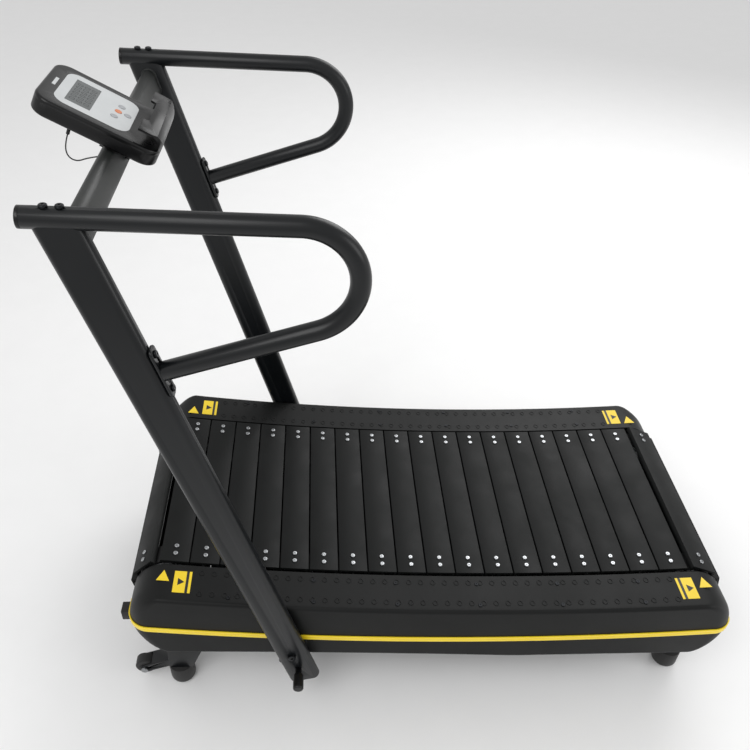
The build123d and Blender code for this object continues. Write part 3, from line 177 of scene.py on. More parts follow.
@dataclass(frozen=True)
class Finish:
    """A surface finish, as a real material and the way it was made."""

    name: str
    colour: str
    worn_colour: str
    roughness: float
    metallic: float = 0.0
    ior: float = 1.5
    grain: Grain = Grain.EVEN
    grain_mm: float = 1.0
    grain_depth_mm: float = 0.05
    patch_mm: float = 120.0
    patch_amount: float = 0.35
    roughness_swing: float = 0.12
    coat: float = 0.0
    sheen: float = 0.0
    drawn_stretch: float = 40.0
    specular: float = 0.5

    def material(self) -> bpy.types.Material:
        """The finish's material, made once.

        Returns:
            The material.
        """
        return bpy.data.materials.get(self.name) or self.make()

    def make(self) -> bpy.types.Material:
        """Builds the material's nodes.

        Returns:
            The new material.
        """
        made = bpy.data.materials.new(self.name)
        made.use_nodes = True
        tree = made.node_tree
        shader = tree.nodes["Principled BSDF"]
        shader.inputs["Metallic"].default_value = self.metallic
        shader.inputs["Coat Weight"].default_value = self.coat
        shader.inputs["Sheen Weight"].default_value = self.sheen
        if self.metallic == 0.0:
            shader.inputs["IOR"].default_value = self.ior
            shader.inputs["Specular IOR Level"].default_value = self.specular
        place = add_node(tree, "ShaderNodeTexCoord").outputs["Object"]
        patches = add_node(tree, "ShaderNodeTexNoise", {"Vector": place},
                           {"Scale": 1000 / self.patch_mm, "Detail": 6.0, "Roughness": 0.6})
        worn = add_node(tree, "ShaderNodeMapRange", {"Value": patches.outputs["Fac"]},
                        {"From Min": 0.35, "From Max": 0.75, "To Min": 0.0, "To Max": self.patch_amount})
        tint = add_node(tree, "ShaderNodeMix", {"Factor": worn.outputs["Result"]}, data_type="RGBA")
        tint.inputs[6].default_value = linear(self.colour)
        tint.inputs[7].default_value = linear(self.worn_colour)
        tree.links.new(tint.outputs[2], shader.inputs["Base Color"])
        fine = self.fine_grain(tree, place)
        dull = add_node(tree, "ShaderNodeMapRange", {"Value": patches.outputs["Fac"]},
                        {"From Min": 0.3, "From Max": 0.7,
                         "To Min": self.roughness - self.roughness_swing / 2,
                         "To Max": self.roughness + self.roughness_swing / 2})
        tree.links.new(dull.outputs["Result"], shader.inputs["Roughness"])
        bump = add_node(tree, "ShaderNodeBump", {"Height": fine},
                        {"Strength": 0.6, "Distance": self.grain_depth_mm * MM})
        tree.links.new(bump.outputs["Normal"], shader.inputs["Normal"])
        return made

    def fine_grain(self, tree: bpy.types.NodeTree, place: bpy.types.NodeSocket) -> bpy.types.NodeSocket:
        """Adds the fine texture.

        Args:
            tree: the material's node tree.
            place: the object coordinates.

        Returns:
            The texture's height.
        """
        scale = 1000 / self.grain_mm
        if self.grain is Grain.PEBBLED:
            cells = add_node(tree, "ShaderNodeTexVoronoi", {"Vector": place}, {"Scale": scale},
                             feature="SMOOTH_F1")
            return cells.outputs["Distance"]
        if self.grain is Grain.DRAWN:
            along = add_node(tree, "ShaderNodeMapping", {"Vector": place},
                             {"Scale": (1.0, 1 / self.drawn_stretch, 1.0)})
            place = along.outputs["Vector"]
        lines = add_node(tree, "ShaderNodeTexNoise", {"Vector": place}, {"Scale": scale, "Detail": 3.0})
        return lines.outputs["Fac"]


# Polyester powder coat, sprayed and baked: an even satin black with a faint orange peel.
POWDER_COAT = Finish("polyester_powder_coat", "#090b0d", "#101316", 0.34, grain_mm=1.6,
                     grain_depth_mm=0.05, patch_mm=260, patch_amount=0.5, roughness_swing=0.10,
                     specular=0.34)
# The same in graphite grey, on the crossbar.
GREY_COAT = Finish("graphite_powder_coat", "#232524", "#303230", 0.46, grain_mm=1.6, grain_depth_mm=0.05)
# Extruded aluminium with a rubbery black coating: drawn lines run the length of each slat.
SLAT_COAT = Finish("coated_aluminium_extrusion", "#0c0d0d", "#151716", 0.50, ior=1.48, grain=Grain.DRAWN,
                   grain_mm=1.2, grain_depth_mm=0.06, patch_mm=90, patch_amount=0.6, roughness_swing=0.16,
                   specular=0.18)
# ABS moulded in a spark-eroded tool: a fine pebble that breaks up the highlights.
MOULDED_ABS = Finish("spark_textured_abs", "#0b0c0c", "#131413", 0.47, grain=Grain.PEBBLED, grain_mm=1.4,
                     grain_depth_mm=0.10, patch_mm=180, patch_amount=0.5, specular=0.2)
# Smooth moulded ABS, a little glossier, on the console, caps and knobs.
SMOOTH_ABS = Finish("moulded_abs", "#060607", "#0d0e0f", 0.30, grain_mm=2.2, grain_depth_mm=0.02,
                    patch_mm=60, specular=0.34)
# Nitrile rubber, moulded: dull and slightly dusty.
RUBBER = Finish("moulded_rubber", "#121212", "#242322", 0.78, ior=1.52, grain_mm=0.9, grain_depth_mm=0.08,
                patch_mm=30, patch_amount=0.6, sheen=0.15)
# Polyurethane belt, matt with a woven back.
BELT = Finish("polyurethane_belt", "#0f0f10", "#1b1b1b", 0.7, grain_mm=1.5, grain_depth_mm=0.1)
# Turned and ground steel, with fine lathe lines.
STEEL = Finish("ground_steel", "#9a9c9e", "#7f8183", 0.32, metallic=1.0, grain=Grain.DRAWN, grain_mm=0.8,
               grain_depth_mm=0.02, patch_mm=25)
# Zinc-plated socket screws, bright with a cloudy bloom.
ZINC = Finish("zinc_plated_steel", "#b4b6b8", "#85878a", 0.28, metallic=1.0, grain_mm=0.7,
              grain_depth_mm=0.02, patch_mm=6, patch_amount=0.6)
# Black-oxide socket bolts on the handrails.
BLACK_OXIDE = Finish("black_oxide_steel", "#1c1d1f", "#34363a", 0.36, metallic=0.8, grain_mm=0.7,
                     grain_depth_mm=0.02, patch_mm=8)
# PVC trim extrusion, satin yellow.
YELLOW_PVC = Finish("yellow_pvc_extrusion", "#efd01c", "#f7df4c", 0.36, ior=1.53, grain_mm=3.0,
                    grain_depth_mm=0.02, patch_mm=140, patch_amount=0.5, coat=0.15)
# Printed polyester film, yellow and black, stuck on the covers.
YELLOW_FILM = Finish("yellow_polyester_film", "#e6c71e", "#d9b914", 0.42, grain_mm=2.0,
                     grain_depth_mm=0.01)
BLACK_FILM = Finish("black_polyester_film", "#121212", "#1a1a1a", 0.42, grain_mm=2.0, grain_depth_mm=0.01)
# Silver-grey polycarbonate overlay on the console.
OVERLAY = Finish("polycarbonate_overlay", "#b9bcbd", "#c9cbcc", 0.33, ior=1.58, grain_mm=0.8,
                 grain_depth_mm=0.01, patch_mm=70, coat=0.3)
# Liquid-crystal glass: dark grey and glossy, with darker segments on it.
LCD_GLASS = Finish("liquid_crystal_glass", "#3e4344", "#4a5050", 0.14, ior=1.52, grain_mm=8.0,
                   grain_depth_mm=0.0, patch_mm=30, coat=0.6, roughness_swing=0.04)
SEGMENT = Finish("liquid_crystal_segment", "#16191a", "#202426", 0.3, grain_mm=4.0, grain_depth_mm=0.0)
# Silicone keys, pale grey, and one faded orange.
GREY_SILICONE = Finish("grey_silicone", "#9b9da0", "#a8aaad", 0.55, ior=1.43, grain_mm=0.6,
                       grain_depth_mm=0.02)
ORANGE_SILICONE = Finish("orange_silicone", "#c97a55", "#d88d66", 0.5, ior=1.43, grain_mm=0.6,
                         grain_depth_mm=0.02)
# PVC cable sheath.
SHEATH = Finish("pvc_sheath", "#101010", "#1a1a1a", 0.45, grain_mm=1.0, grain_depth_mm=0.03)

SLOT_FINISHES = {"frame_paint": POWDER_COAT, "crossbar_paint": GREY_COAT, "slat_coat": SLAT_COAT,
                 "cover_plastic": MOULDED_ABS, "black_plastic": SMOOTH_ABS, "foot_rubber": RUBBER,
                 "wheel_rubber": RUBBER, "belt_rubber": BELT, "steel": STEEL, "screw_steel": ZINC,
                 "trim_yellow": YELLOW_PVC, "face_silver": OVERLAY, "display_glass": LCD_GLASS,
                 "key_rubber": GREY_SILICONE, "key_orange": ORANGE_SILICONE, "cable_sheath": SHEATH}
NODE_FINISHES = {"handrail_bolts": BLACK_OXIDE, "pivot_bolts": BLACK_OXIDE, "cover_screws": BLACK_OXIDE}
# How far each node's edges are eased, in millimetres; the rest keep a fine 0.4.
EASED = {"console_bezel": 0.6, "device_ledge": 1.6, "base_plates": 1.2, "foot_brackets": 1.5,
         "bearing_blocks": 1.0, "trim_strips": 0.8, "upright_mounts": 1.0, "console_saddle": 1.0}
# Nodes that only get smoothed round faces, with no eased edges.
SHARP = ("console_face", "console_display", "slat_screws_top", "slat_screws_front", "slat_screws_rear",
         "slat_screws_bottom", "cover_screws", "track_rollers", "roller_tracks", "side_rails", "cross_tubes",
         "cover_brackets", "console_cable")


@dataclass(frozen=True)
class PackedParts:
    """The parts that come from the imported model, which only need finishes and eased edges."""

    fine_edge_mm: float = 0.4
    smooth_angle: float = 30

    def dress(self) -> None:
        """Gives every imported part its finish."""
        slots = {entry["node"]: entry["material_slot"] for entry in frame["record"]["subparts"]}
        for name, node in frame["nodes"].items():
            finish = NODE_FINISHES.get(name, SLOT_FINISHES[slots[name]])
            node.data.materials.clear()
            node.data.materials.append(finish.material())
            if name in SHARP:
                self.smooth_only(node)
            else:
                soften(node, EASED.get(name, self.fine_edge_mm) * MM)
            log.info("%s is %s", name, finish.name)

    def smooth_only(self, node: bpy.types.Object) -> None:
        """Smooths a part's round faces and leaves its edges sharp.

        Args:
            node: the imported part's object.
        """
        weld = node.modifiers.new("joined_corners", "WELD")
        weld.merge_threshold = WELD_REACH
        smooth_faces(node, self.smooth_angle)


# ---------------------------------------------------------------- running belt
@dataclass(frozen=True)
class SlatRun:
    """One run of the loop, an arc or a straight line that slats are laid along."""

    body: str
    origin: Vector
    radius: float
    start_turn: float
    turn_rate: float
    travel: Vector
    length: float

    def place(self, distance: float) -> tuple[Vector, Vector]:
        """Finds where a slat lies.

        Args:
            distance: how far along the run it is.

        Returns:
            The middle of its outer face, and the outward direction there.
        """
        turn = self.start_turn + distance * self.turn_rate
        outward = Vector((math.cos(turn), 0, math.sin(turn)))
        return self.origin + self.travel * distance + outward * self.radius, outward


@dataclass(frozen=True)
class SlatBelt:
    """The ribbed slats, extruded with eased edges, laid round the whole loop."""

    deck_radius: float = 6.320
    deck_low: tuple[float, float] = (0.340, 0.334)
    axle_x: tuple[float, float] = (-0.622, 0.654)
    face_radius: float = 0.090
    pitch_drop: float = 0.017
    count: int = 42
    gap: float = 0.0035
    first: float = 0.006
    half_length: float = 0.254
    plate: float = 0.006
    thickness: float = 0.014
    rib: float = 0.006
    edge: float = 0.0012
    edge_share: float = 0.3
    smooth_angle: float = 35

    def axle(self, x: float) -> Vector:
        """Centre of the axle at x, under the running surface.

        Args:
            x: its place along the machine.

        Returns:
            The axle's centre.
        """
        radius = self.deck_radius + self.face_radius
        drop = math.sqrt(radius ** 2 - (x - self.deck_low[0]) ** 2)
        return Vector((x, 0, self.deck_low[1] + self.deck_radius - drop))

    def runs(self) -> dict[str, SlatRun]:
        """Works out the loop's four runs.

        Returns:
            The runs by name, in the order that the slats go round.
        """
        centre = Vector((self.deck_low[0], 0, self.deck_low[1] + self.deck_radius))
        front, rear = self.axle(self.axle_x[0]), self.axle(self.axle_x[1])
        pitch_radius = self.face_radius - self.pitch_drop
        top_radius = self.deck_radius + self.pitch_drop
        low = (front - rear).normalized()
        start, end, low_turn = [math.atan2(v.z, v.x) for v in (centre - front, centre - rear, low)]
        low_turn += math.pi / 2
        rear_length = ((end - low_turn) % math.tau) * pitch_radius
        front_length = ((low_turn - start) % math.tau) * pitch_radius
        return {"top": SlatRun("belt_top", centre, -self.deck_radius, start, 1 / top_radius, Vector(),
                               (end - start) * top_radius),
                "rear": SlatRun("rear_drum", rear, self.face_radius, end, -1 / pitch_radius, Vector(),
                                rear_length),
                "bottom": SlatRun("belt_bottom", rear, self.face_radius, low_turn, 0.0, low,
                                  (front - rear).length),
                "front": SlatRun("front_drum", front, self.face_radius, low_turn, -1 / pitch_radius, Vector(),
                                 front_length)}

    def section(self, width: float) -> list[tuple[float, float]]:
        """A slat's section: a plate with eased upper edges on three ribs.

        Args:
            width: the slat's width.

        Returns:
            Corners, along the belt and out of it.
        """
        half, ease, deep = width / 2, self.edge, -self.thickness
        nick = ease * self.edge_share
        return [(-half, -ease), (-half + nick, -nick), (-half + ease, 0), (half - ease, 0),
                (half - nick, -nick), (half, -ease), (half, deep), (half - self.rib, deep),
                (half - self.rib, -self.plate),
                (self.rib / 2, -self.plate), (self.rib / 2, deep), (-self.rib / 2, deep),
                (-self.rib / 2, -self.plate), (-half + self.rib, -self.plate), (-half + self.rib, deep),
                (-half, deep)]

    def add_slat(self, work: bmesh.types.BMesh, corners: list[tuple[float, float]], point: Vector,
                 outward: Vector) -> None:
        """Adds one slat.

        Args:
            work: the mesh.
            corners: the slat's section.
            point: the middle of its outer face.
            outward: the direction out of the belt.
        """
        forward = Vector((outward.z, 0, -outward.x))
        near, far = [[work.verts.new(point + forward * a + outward * b + across) for a, b in corners]
                     for across in (Vector((0, -self.half_length, 0)), Vector((0, self.half_length, 0)))]
        for i in range(len(near)):
            j = (i + 1) % len(near)
            work.faces.new((near[i], near[j], far[j], far[i]))
        work.faces.new(near)
        work.faces.new(far)

    def build(self) -> None:
        """Makes each run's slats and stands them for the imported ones."""
        runs = self.runs()
        pitch = sum(run.length for run in runs.values()) / self.count
        corners = self.section(pitch - self.gap)
        distance, laid = self.first, 0
        for name, run in runs.items():
            work = bmesh.new()
            while distance < run.length and laid < self.count:
                self.add_slat(work, corners, *run.place(distance))
                distance += pitch
                laid += 1
            distance -= run.length
            piece = mesh_piece(f"ribbed_slats_{name}", work, run.body, SLAT_COAT)
            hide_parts(f"slats_{name}")
            smooth_faces(piece, self.smooth_angle)


# ---------------------------------------------------------------- covers
@dataclass(frozen=True)
class SideCover:
    """A moulded cover shell: noses that are half ellipses, a rounded ridge and rounded plan corners."""

    deck_radius: float = 6.320
    deck_low: tuple[float, float] = (0.340, 0.334)
    drop: float = 0.003
    front_x: float = -0.710
    rear_x: float = 0.742
    nose_depth: float = 0.088
    front_height: float = 0.105
    rear_height: float = 0.096
    inner_y: float = 0.262
    outer_y: float = 0.366
    plan_corner: float = 0.045
    ridge: float = 0.009
    lip: float = 0.022
    wall: float = 0.003
    sag_x: float = 0.216
    sag_z: float = 0.148
    mid_low: tuple[float, float] = (-0.200, 0.175)
    nose_steps: int = 28
    run_steps: int = 48
    corner_steps: int = 8
    ridge_steps: int = 10
    skirt_facing: float = -0.75
    smooth_angle: float = 28

    def deck_z(self, x: float) -> float:
        """Height of the cover's top at x.

        Args:
            x: the place along the machine.

        Returns:
            The height.
        """
        radius = self.deck_radius + self.drop
        return self.deck_low[1] + self.deck_radius - math.sqrt(radius ** 2 - (x - self.deck_low[0]) ** 2)

    def low_z(self, x: float) -> float:
        """Height of the skirt's lower edge at x: straight at the rear, then a shallow arc to the front.

        Args:
            x: the place along the machine.

        Returns:
            The height.
        """
        front = self.front_x + self.nose_depth
        low_front = self.deck_z(front) - 2 * self.front_height
        low_rear = self.deck_z(self.rear_x - self.nose_depth) - 2 * self.rear_height
        if x >= self.sag_x:
            share = (x - self.sag_x) / (self.rear_x - self.nose_depth - self.sag_x)
            return self.sag_z + (low_rear - self.sag_z) * share
        share = (x - front) / (self.sag_x - front)
        middle = (self.mid_low[0] - front) / (self.sag_x - front)
        straight = low_front + (self.sag_z - low_front) * middle
        bow = (self.mid_low[1] - straight) / (middle * (1 - middle))
        return low_front + (self.sag_z - low_front) * share + bow * share * (1 - share)

    def outline(self) -> list[tuple[float, float]]:
        """The side-view outline, from the top's front end round by the rear, the bottom and the front.

        Returns:
            The points, along the machine and up.
        """
        front, rear = self.front_x + self.nose_depth, self.rear_x - self.nose_depth
        top = [front + (rear - front) * i / self.run_steps for i in range(self.run_steps)]
        points = [(x, self.deck_z(x)) for x in top]
        points += self.nose(rear, self.rear_height, 1)
        run = [rear + (front - rear) * i / self.run_steps for i in range(1, self.run_steps)]
        points += [(x, self.low_z(x)) for x in run]
        points += list(reversed(self.nose(front, self.front_height, -1)))[:-1]
        return points

    def nose(self, axle_x: float, height: float, direction: int) -> list[tuple[float, float]]:
        """One nose's half ellipse, from its top to its bottom.

        Args:
            axle_x: where the ellipse's centre is.
            height: half its height.
            direction: -1 for the front nose, 1 for the rear one.

        Returns:
            The points, along the machine and up.
        """
        centre = self.deck_z(axle_x) - height
        turns = [math.pi * (0.5 - i / self.nose_steps) for i in range(self.nose_steps + 1)]
        return [(axle_x + direction * self.nose_depth * math.cos(t), centre + height * math.sin(t))
                for t in turns]

    def inset(self, y: float) -> tuple[float, float]:
        """How far the outline draws in at y, along and up, round the plan corner and the ridge.

        Args:
            y: the distance from the middle of the machine.

        Returns:
            The two insets.
        """
        insets = []
        for radius in (self.plan_corner, self.ridge):
            reach = max(0.0, y - (self.outer_y - radius))
            insets.append(radius - math.sqrt(max(0.0, radius ** 2 - reach ** 2)))
        return insets[0], insets[1]

    def stations(self) -> list[float]:
        """The places across the cover that its rings stand at.

        Returns:
            The distances from the middle of the machine, in order.
        """
        corner = self.outer_y - self.plan_corner
        ridge = self.outer_y - self.ridge
        places = [self.inner_y, self.inner_y + 0.002, (self.inner_y + corner) / 2, corner]
        places += [corner + (ridge - corner) * i / self.corner_steps for i in range(1, self.corner_steps)]
        places += [ridge + self.ridge * math.sin(math.pi / 2 * i / self.ridge_steps)
                   for i in range(self.ridge_steps + 1)]
        return places

    def build(self, name: str, side: int) -> None:
        """Makes one cover.

        Args:
            name: left or right.
            side: -1 on the left, 1 on the right.
        """
        work = bmesh.new()
        outline = self.outline()
        count = len(outline)
        normals = []
        for i, (x, z) in enumerate(outline):
            ahead, behind = outline[(i + 1) % count], outline[i - 1]
            run = Vector((ahead[0] - behind[0], ahead[1] - behind[1])).normalized()
            normals.append(Vector((-run.y, run.x)))
        rings = [[work.verts.new((x - n.x * self.lip, side * self.inner_y, z - n.y * self.lip))
                  for (x, z), n in zip(outline, normals)]]
        for y in self.stations():
            along, up = self.inset(y)
            rings.append([work.verts.new((x - n.x * along, side * y, z - n.y * up))
                          for (x, z), n in zip(outline, normals)])
        for ring, following in zip(rings, rings[1:]):
            for i in range(count):
                j = (i + 1) % count
                if normals[i].y < self.skirt_facing and following is not rings[-1] and ring is not rings[0]:
                    if abs(following[i].co.y) < self.outer_y - self.plan_corner / 2:
                        continue
                work.faces.new((ring[i], ring[j], following[j], following[i]))
        work.faces.new(rings[-1])
        piece = mesh_piece(f"cover_shell_{name}", work, "frame", MOULDED_ABS)
        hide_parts(f"side_cover_{name}")
        shell = piece.modifiers.new("wall", "SOLIDIFY")
        shell.thickness = self.wall
        shell.offset = -1.0
        smooth_faces(piece, self.smooth_angle)


@dataclass(frozen=True)
class CoverTops:
    """The tread marks and the plain marker plates on the side covers."""

    deck_radius: float = 6.320
    deck_low_x: float = 0.340
    deck_low_z: float = 0.334
    cover_drop: float = 0.003
    mark_pitch: float = 0.0289
    mark_first_x: float = -0.535
    mark_count: int = 40
    mark_rows: tuple[float, float] = (0.281, 0.339)
    mark_length: float = 0.017
    mark_width: float = 0.014
    ridge_width: float = 0.0028
    ridge_height: float = 0.0013
    mark_steps: int = 14
    mark_tip: float = 0.55
    crest_shares: tuple[float, float] = (0.93, 1.1)
    sunk: float = 0.0002
    plate_length: float = 0.040
    plate_width: float = 0.060
    plate_thickness: float = 0.0004
    plate_places: tuple[float, float] = (-0.577, 0.624)
    plate_y: float = 0.310
    band_offset: float = 0.011
    band_length: float = 0.006
    triangle_size: float = 0.030
    triangle_offset: float = 0.045

    def top(self, x: float, y: float, lift: float = 0.0) -> Vector:
        """The point on a cover's top at x and y, lifted by lift.

        Args:
            x: the place along the machine.
            y: the place across it.
            lift: how far above the cover it is.

        Returns:
            The point.
        """
        radius = self.deck_radius + self.cover_drop
        drop = math.sqrt(radius ** 2 - (x - self.deck_low_x) ** 2)
        return Vector((x, y, self.deck_low_z + self.deck_radius - drop + lift))

    def make_tread_marks(self, name: str, side: int) -> None:
        """Moulds two rows of teardrop ridges on one cover.

        Args:
            name: left or right.
            side: -1 on the left, 1 on the right.
        """
        work = bmesh.new()
        for row in self.mark_rows:
            for number in range(self.mark_count):
                self.add_ridge(work, self.mark_first_x + number * self.mark_pitch, side * row, side)
        piece = mesh_piece(f"tread_marks_{name}", work, "frame", MOULDED_ABS)
        soften(piece, 0.0003, segments=1)

    def add_ridge(self, work: bmesh.types.BMesh, x: float, y: float, side: int) -> None:
        """Adds one teardrop ridge: a round loop that narrows to a tip on the inner side.

        Args:
            work: the mesh.
            x: the mark's place along the machine.
            y: its place across.
            side: -1 on the left, 1 on the right.
        """
        rings = []
        for step in range(self.mark_steps):
            turn = 2 * math.pi * step / self.mark_steps
            narrow = 1.0 - self.mark_tip * max(0.0, -math.cos(turn))
            outward = Vector((math.sin(turn) * self.mark_width / 2 * narrow,
                              side * math.cos(turn) * self.mark_length / 2, 0))
            inner = outward * (1 - 2 * self.ridge_width / self.mark_width)
            corners = []
            for offset, lift in ((outward, 0.0), (outward * self.crest_shares[0], self.ridge_height),
                                 (inner * self.crest_shares[1], self.ridge_height), (inner, 0.0)):
                corners.append(work.verts.new(self.top(x + offset.x, y + offset.y, lift - self.sunk)))
            rings.append(corners)
        for i, ring in enumerate(rings):
            following = rings[(i + 1) % len(rings)]
            for k in range(4):
                m = (k + 1) % 4
                work.faces.new((ring[k], ring[m], following[m], following[k]))

    def make_marker_plates(self, name: str, side: int) -> None:
        """Sticks a plain yellow plate and a small triangle at each end of one cover.

        Args:
            name: left or right.
            side: -1 on the left, 1 on the right.
        """
        plates, inks = bmesh.new(), bmesh.new()
        for x in self.plate_places:
            inward = math.copysign(1.0, -x)
            self.add_plate(plates, x, self.plate_length, self.plate_width, side)
            self.add_plate(inks, x + inward * self.band_offset, self.band_length, self.plate_width, side, 2)
            self.add_triangle(inks, x - inward * self.band_offset / 2, side)
            self.add_big_triangle(plates, x - inward * self.triangle_offset, side)
        mesh_piece(f"marker_plates_{name}", plates, "frame", YELLOW_FILM)
        mesh_piece(f"marker_ink_{name}", inks, "frame", BLACK_FILM)

    def add_plate(self, work: bmesh.types.BMesh, x: float, length: float, width: float, side: int,
                  layer: int = 1) -> None:
        """Adds a flat plate on a cover's top, as the given layer of film.

        Args:
            work: the mesh.
            x: the plate's place along the machine.
            length: its size along the machine.
            width: its size across.
            side: -1 on the left, 1 on the right.
            layer: which layer of film it is, counted from the cover.
        """
        y = side * self.plate_y
        corners = [self.top(x + i * length / 2, y + j * width / 2, self.plate_thickness * (layer - 1))
                   for i, j in ((-1, -1), (1, -1), (1, 1), (-1, 1))]
        prism(work, corners, Vector((0, 0, self.plate_thickness)))

    def add_triangle(self, work: bmesh.types.BMesh, x: float, side: int) -> None:
        """Adds a small solid triangle on a plate.

        Args:
            work: the mesh.
            x: the triangle's place along the machine.
            side: -1 on the left, 1 on the right.
        """
        y = side * self.plate_y
        size = self.triangle_size / 3
        corners = [self.top(x - size / 2, y - size, self.plate_thickness),
                   self.top(x - size / 2, y + size, self.plate_thickness),
                   self.top(x + size, y, self.plate_thickness)]
        prism(work, corners, Vector((0, 0, self.plate_thickness)))

    def add_big_triangle(self, work: bmesh.types.BMesh, x: float, side: int) -> None:
        """Adds a separate plain triangle beside a plate.

        Args:
            work: the mesh.
            x: the triangle's place along the machine.
            side: -1 on the left, 1 on the right.
        """
        y = side * (self.plate_y - self.plate_width / 4)
        size = self.triangle_size / 2
        corners = [self.top(x - size, y - size), self.top(x + size, y - size), self.top(x, y + size)]
        prism(work, corners, Vector((0, 0, self.plate_thickness)))

    def build(self) -> None:
        """Makes both covers' pieces."""
        for name, side in (("left", -1), ("right", 1)):
            self.make_tread_marks(name, side)
            self.make_marker_plates(name, side)


# ---------------------------------------------------------------- handrail frame
@dataclass(frozen=True)
class FrameWelds:
    """Weld beads where the crossbar meets the uprights."""

    lean: float = math.radians(15.15)
    pivot: tuple[float, float, float] = (-0.326, 0.0, 0.228)
    crossbar_s: float = 1.130
    crossbar_t: float = -0.002
    crossbar_height: float = 0.060
    crossbar_depth: float = 0.030
    upright_inner_y: float = 0.374
    bead: float = 0.0024
    ripple_depth: float = 0.12
    bead_reach: float = 1.3
    bead_crown: float = 0.62
    steps: int = 72

    def up(self) -> Vector:
        """Direction up the uprights.

        Returns:
            The direction.
        """
        return Vector((-math.sin(self.lean), 0, math.cos(self.lean)))

    def out(self) -> Vector:
        """Direction to the uprights' rear.

        Returns:
            The direction.
        """
        return Vector((math.cos(self.lean), 0, math.sin(self.lean)))

    def build(self) -> None:
        """Makes the beads round both ends of the crossbar."""
        centre = Vector(self.pivot) + self.up() * self.crossbar_s + self.out() * self.crossbar_t
        straight = (self.crossbar_height - self.crossbar_depth) / 2
        work = bmesh.new()
        for side in (-1, 1):
            rings = []
            for step in range(self.steps):
                turn = 2 * math.pi * step / self.steps
                ripple = self.bead * (1 + self.ripple_depth * math.sin(step * 2 * math.pi / 3))
                radial = self.out() * math.cos(turn) + self.up() * math.sin(turn)
                shift = self.up() * math.copysign(straight, math.sin(turn) or 1)
                foot = centre + shift + radial * self.crossbar_depth / 2
                across = Vector((0, side * self.upright_inner_y, 0))
                inward = Vector((0, -side * ripple * self.bead_reach, 0))
                rings.append([work.verts.new(foot + across), work.verts.new(foot + across + radial * ripple),
                              work.verts.new(foot + across + (radial * ripple + inward) * self.bead_crown),
                              work.verts.new(foot + across + inward)])
            for i, ring in enumerate(rings):
                following = rings[(i + 1) % self.steps]
                for k in range(4):
                    m = (k + 1) % 4
                    work.faces.new((ring[k], ring[m], following[m], following[k]))
        piece = mesh_piece("crossbar_weld_beads", work, "handrail_frame", GREY_COAT)
        for polygon in piece.data.polygons:
            polygon.use_smooth = True


# ---------------------------------------------------------------- console
@dataclass(frozen=True)
class Console:
    """The display's segments and the lamp slot."""

    origin: tuple[float, float, float] = (-0.704, 0.0, 1.437)
    tilt: float = math.radians(29.3)
    display_front: float = 0.0155
    display_length: float = 0.046
    display_width: float = 0.102
    digit_rows: int = 3
    digits: int = 6
    digit_height: float = 0.009
    digit_width: float = 0.0055
    stroke: float = 0.0011
    stroke_share: float = 2.3
    row_margin: float = 0.5
    row_start: float = 0.75
    digits_share: float = 0.8
    lamp_edge: float = 0.0001
    film: float = 0.0001
    glass_height: float = -0.0005
    lamp_along: float = -0.013
    lamp_length: float = 0.034
    lamp_width: float = 0.006

    def point(self, along: float, across: float, height: float = 0.0) -> Vector:
        """A point of the console's face: towards the user, across and out of it.

        Args:
            along: the distance towards the user.
            across: the distance to the right.
            height: the distance out of the face.

        Returns:
            The point.
        """
        ahead = Vector((math.cos(self.tilt), 0, -math.sin(self.tilt)))
        outward = Vector((math.sin(self.tilt), 0, math.cos(self.tilt)))
        return Vector(self.origin) + ahead * along + Vector((0, across, 0)) + outward * height

    def bar(self, work: bmesh.types.BMesh, along: float, across: float, length: float, width: float,
            height: float, thickness: float) -> None:
        """Adds a small flat bar on the console's face.

        Args:
            work: the mesh.
            along: its centre towards the user.
            across: its centre across.
            length: its size towards the user.
            width: its size across.
            height: how far its foot is out of the face.
            thickness: how far it rises from there.
        """
        corners = [self.point(along + i * length / 2, across + j * width / 2, height)
                   for i, j in ((-1, -1), (1, -1), (1, 1), (-1, 1))]
        rise = self.point(0, 0, thickness) - self.point(0, 0)
        prism(work, corners, rise)

    def make_segments(self) -> None:
        """Lays rows of seven-segment digits on the display, all showing zero."""
        work = bmesh.new()
        row_pitch = self.display_length / (self.digit_rows + self.row_margin)
        digit_pitch = self.display_width * self.digits_share / self.digits
        for row in range(self.digit_rows):
            along = self.display_front + row_pitch * (row + self.row_start)
            for number in range(self.digits):
                across = (number - (self.digits - 1) / 2) * digit_pitch
                for end in (-1, 1):
                    self.bar(work, along + end * self.digit_height / 2, across, self.stroke, self.digit_width,
                             self.glass_height, self.film)
                    stroke_across = across + end * (self.digit_width + self.stroke) / 2
                    for half in (-1, 1):
                        self.bar(work, along + half * self.digit_height / 4, stroke_across,
                                 self.digit_height / self.stroke_share, self.stroke, self.glass_height,
                                 self.film)
        mesh_piece("display_segments", work, "handrail_frame", SEGMENT)

    def make_lamp(self) -> None:
        """Sets the pale lamp slot in the bezel."""
        work = bmesh.new()
        self.bar(work, self.lamp_along, 0.0, self.lamp_width, self.lamp_length, 0.0, 2 * self.film)
        piece = mesh_piece("console_lamp_slot", work, "handrail_frame", OVERLAY)
        soften(piece, self.lamp_edge, segments=1)

    def build(self) -> None:
        """Makes the console's pieces."""
        self.make_segments()
        self.make_lamp()


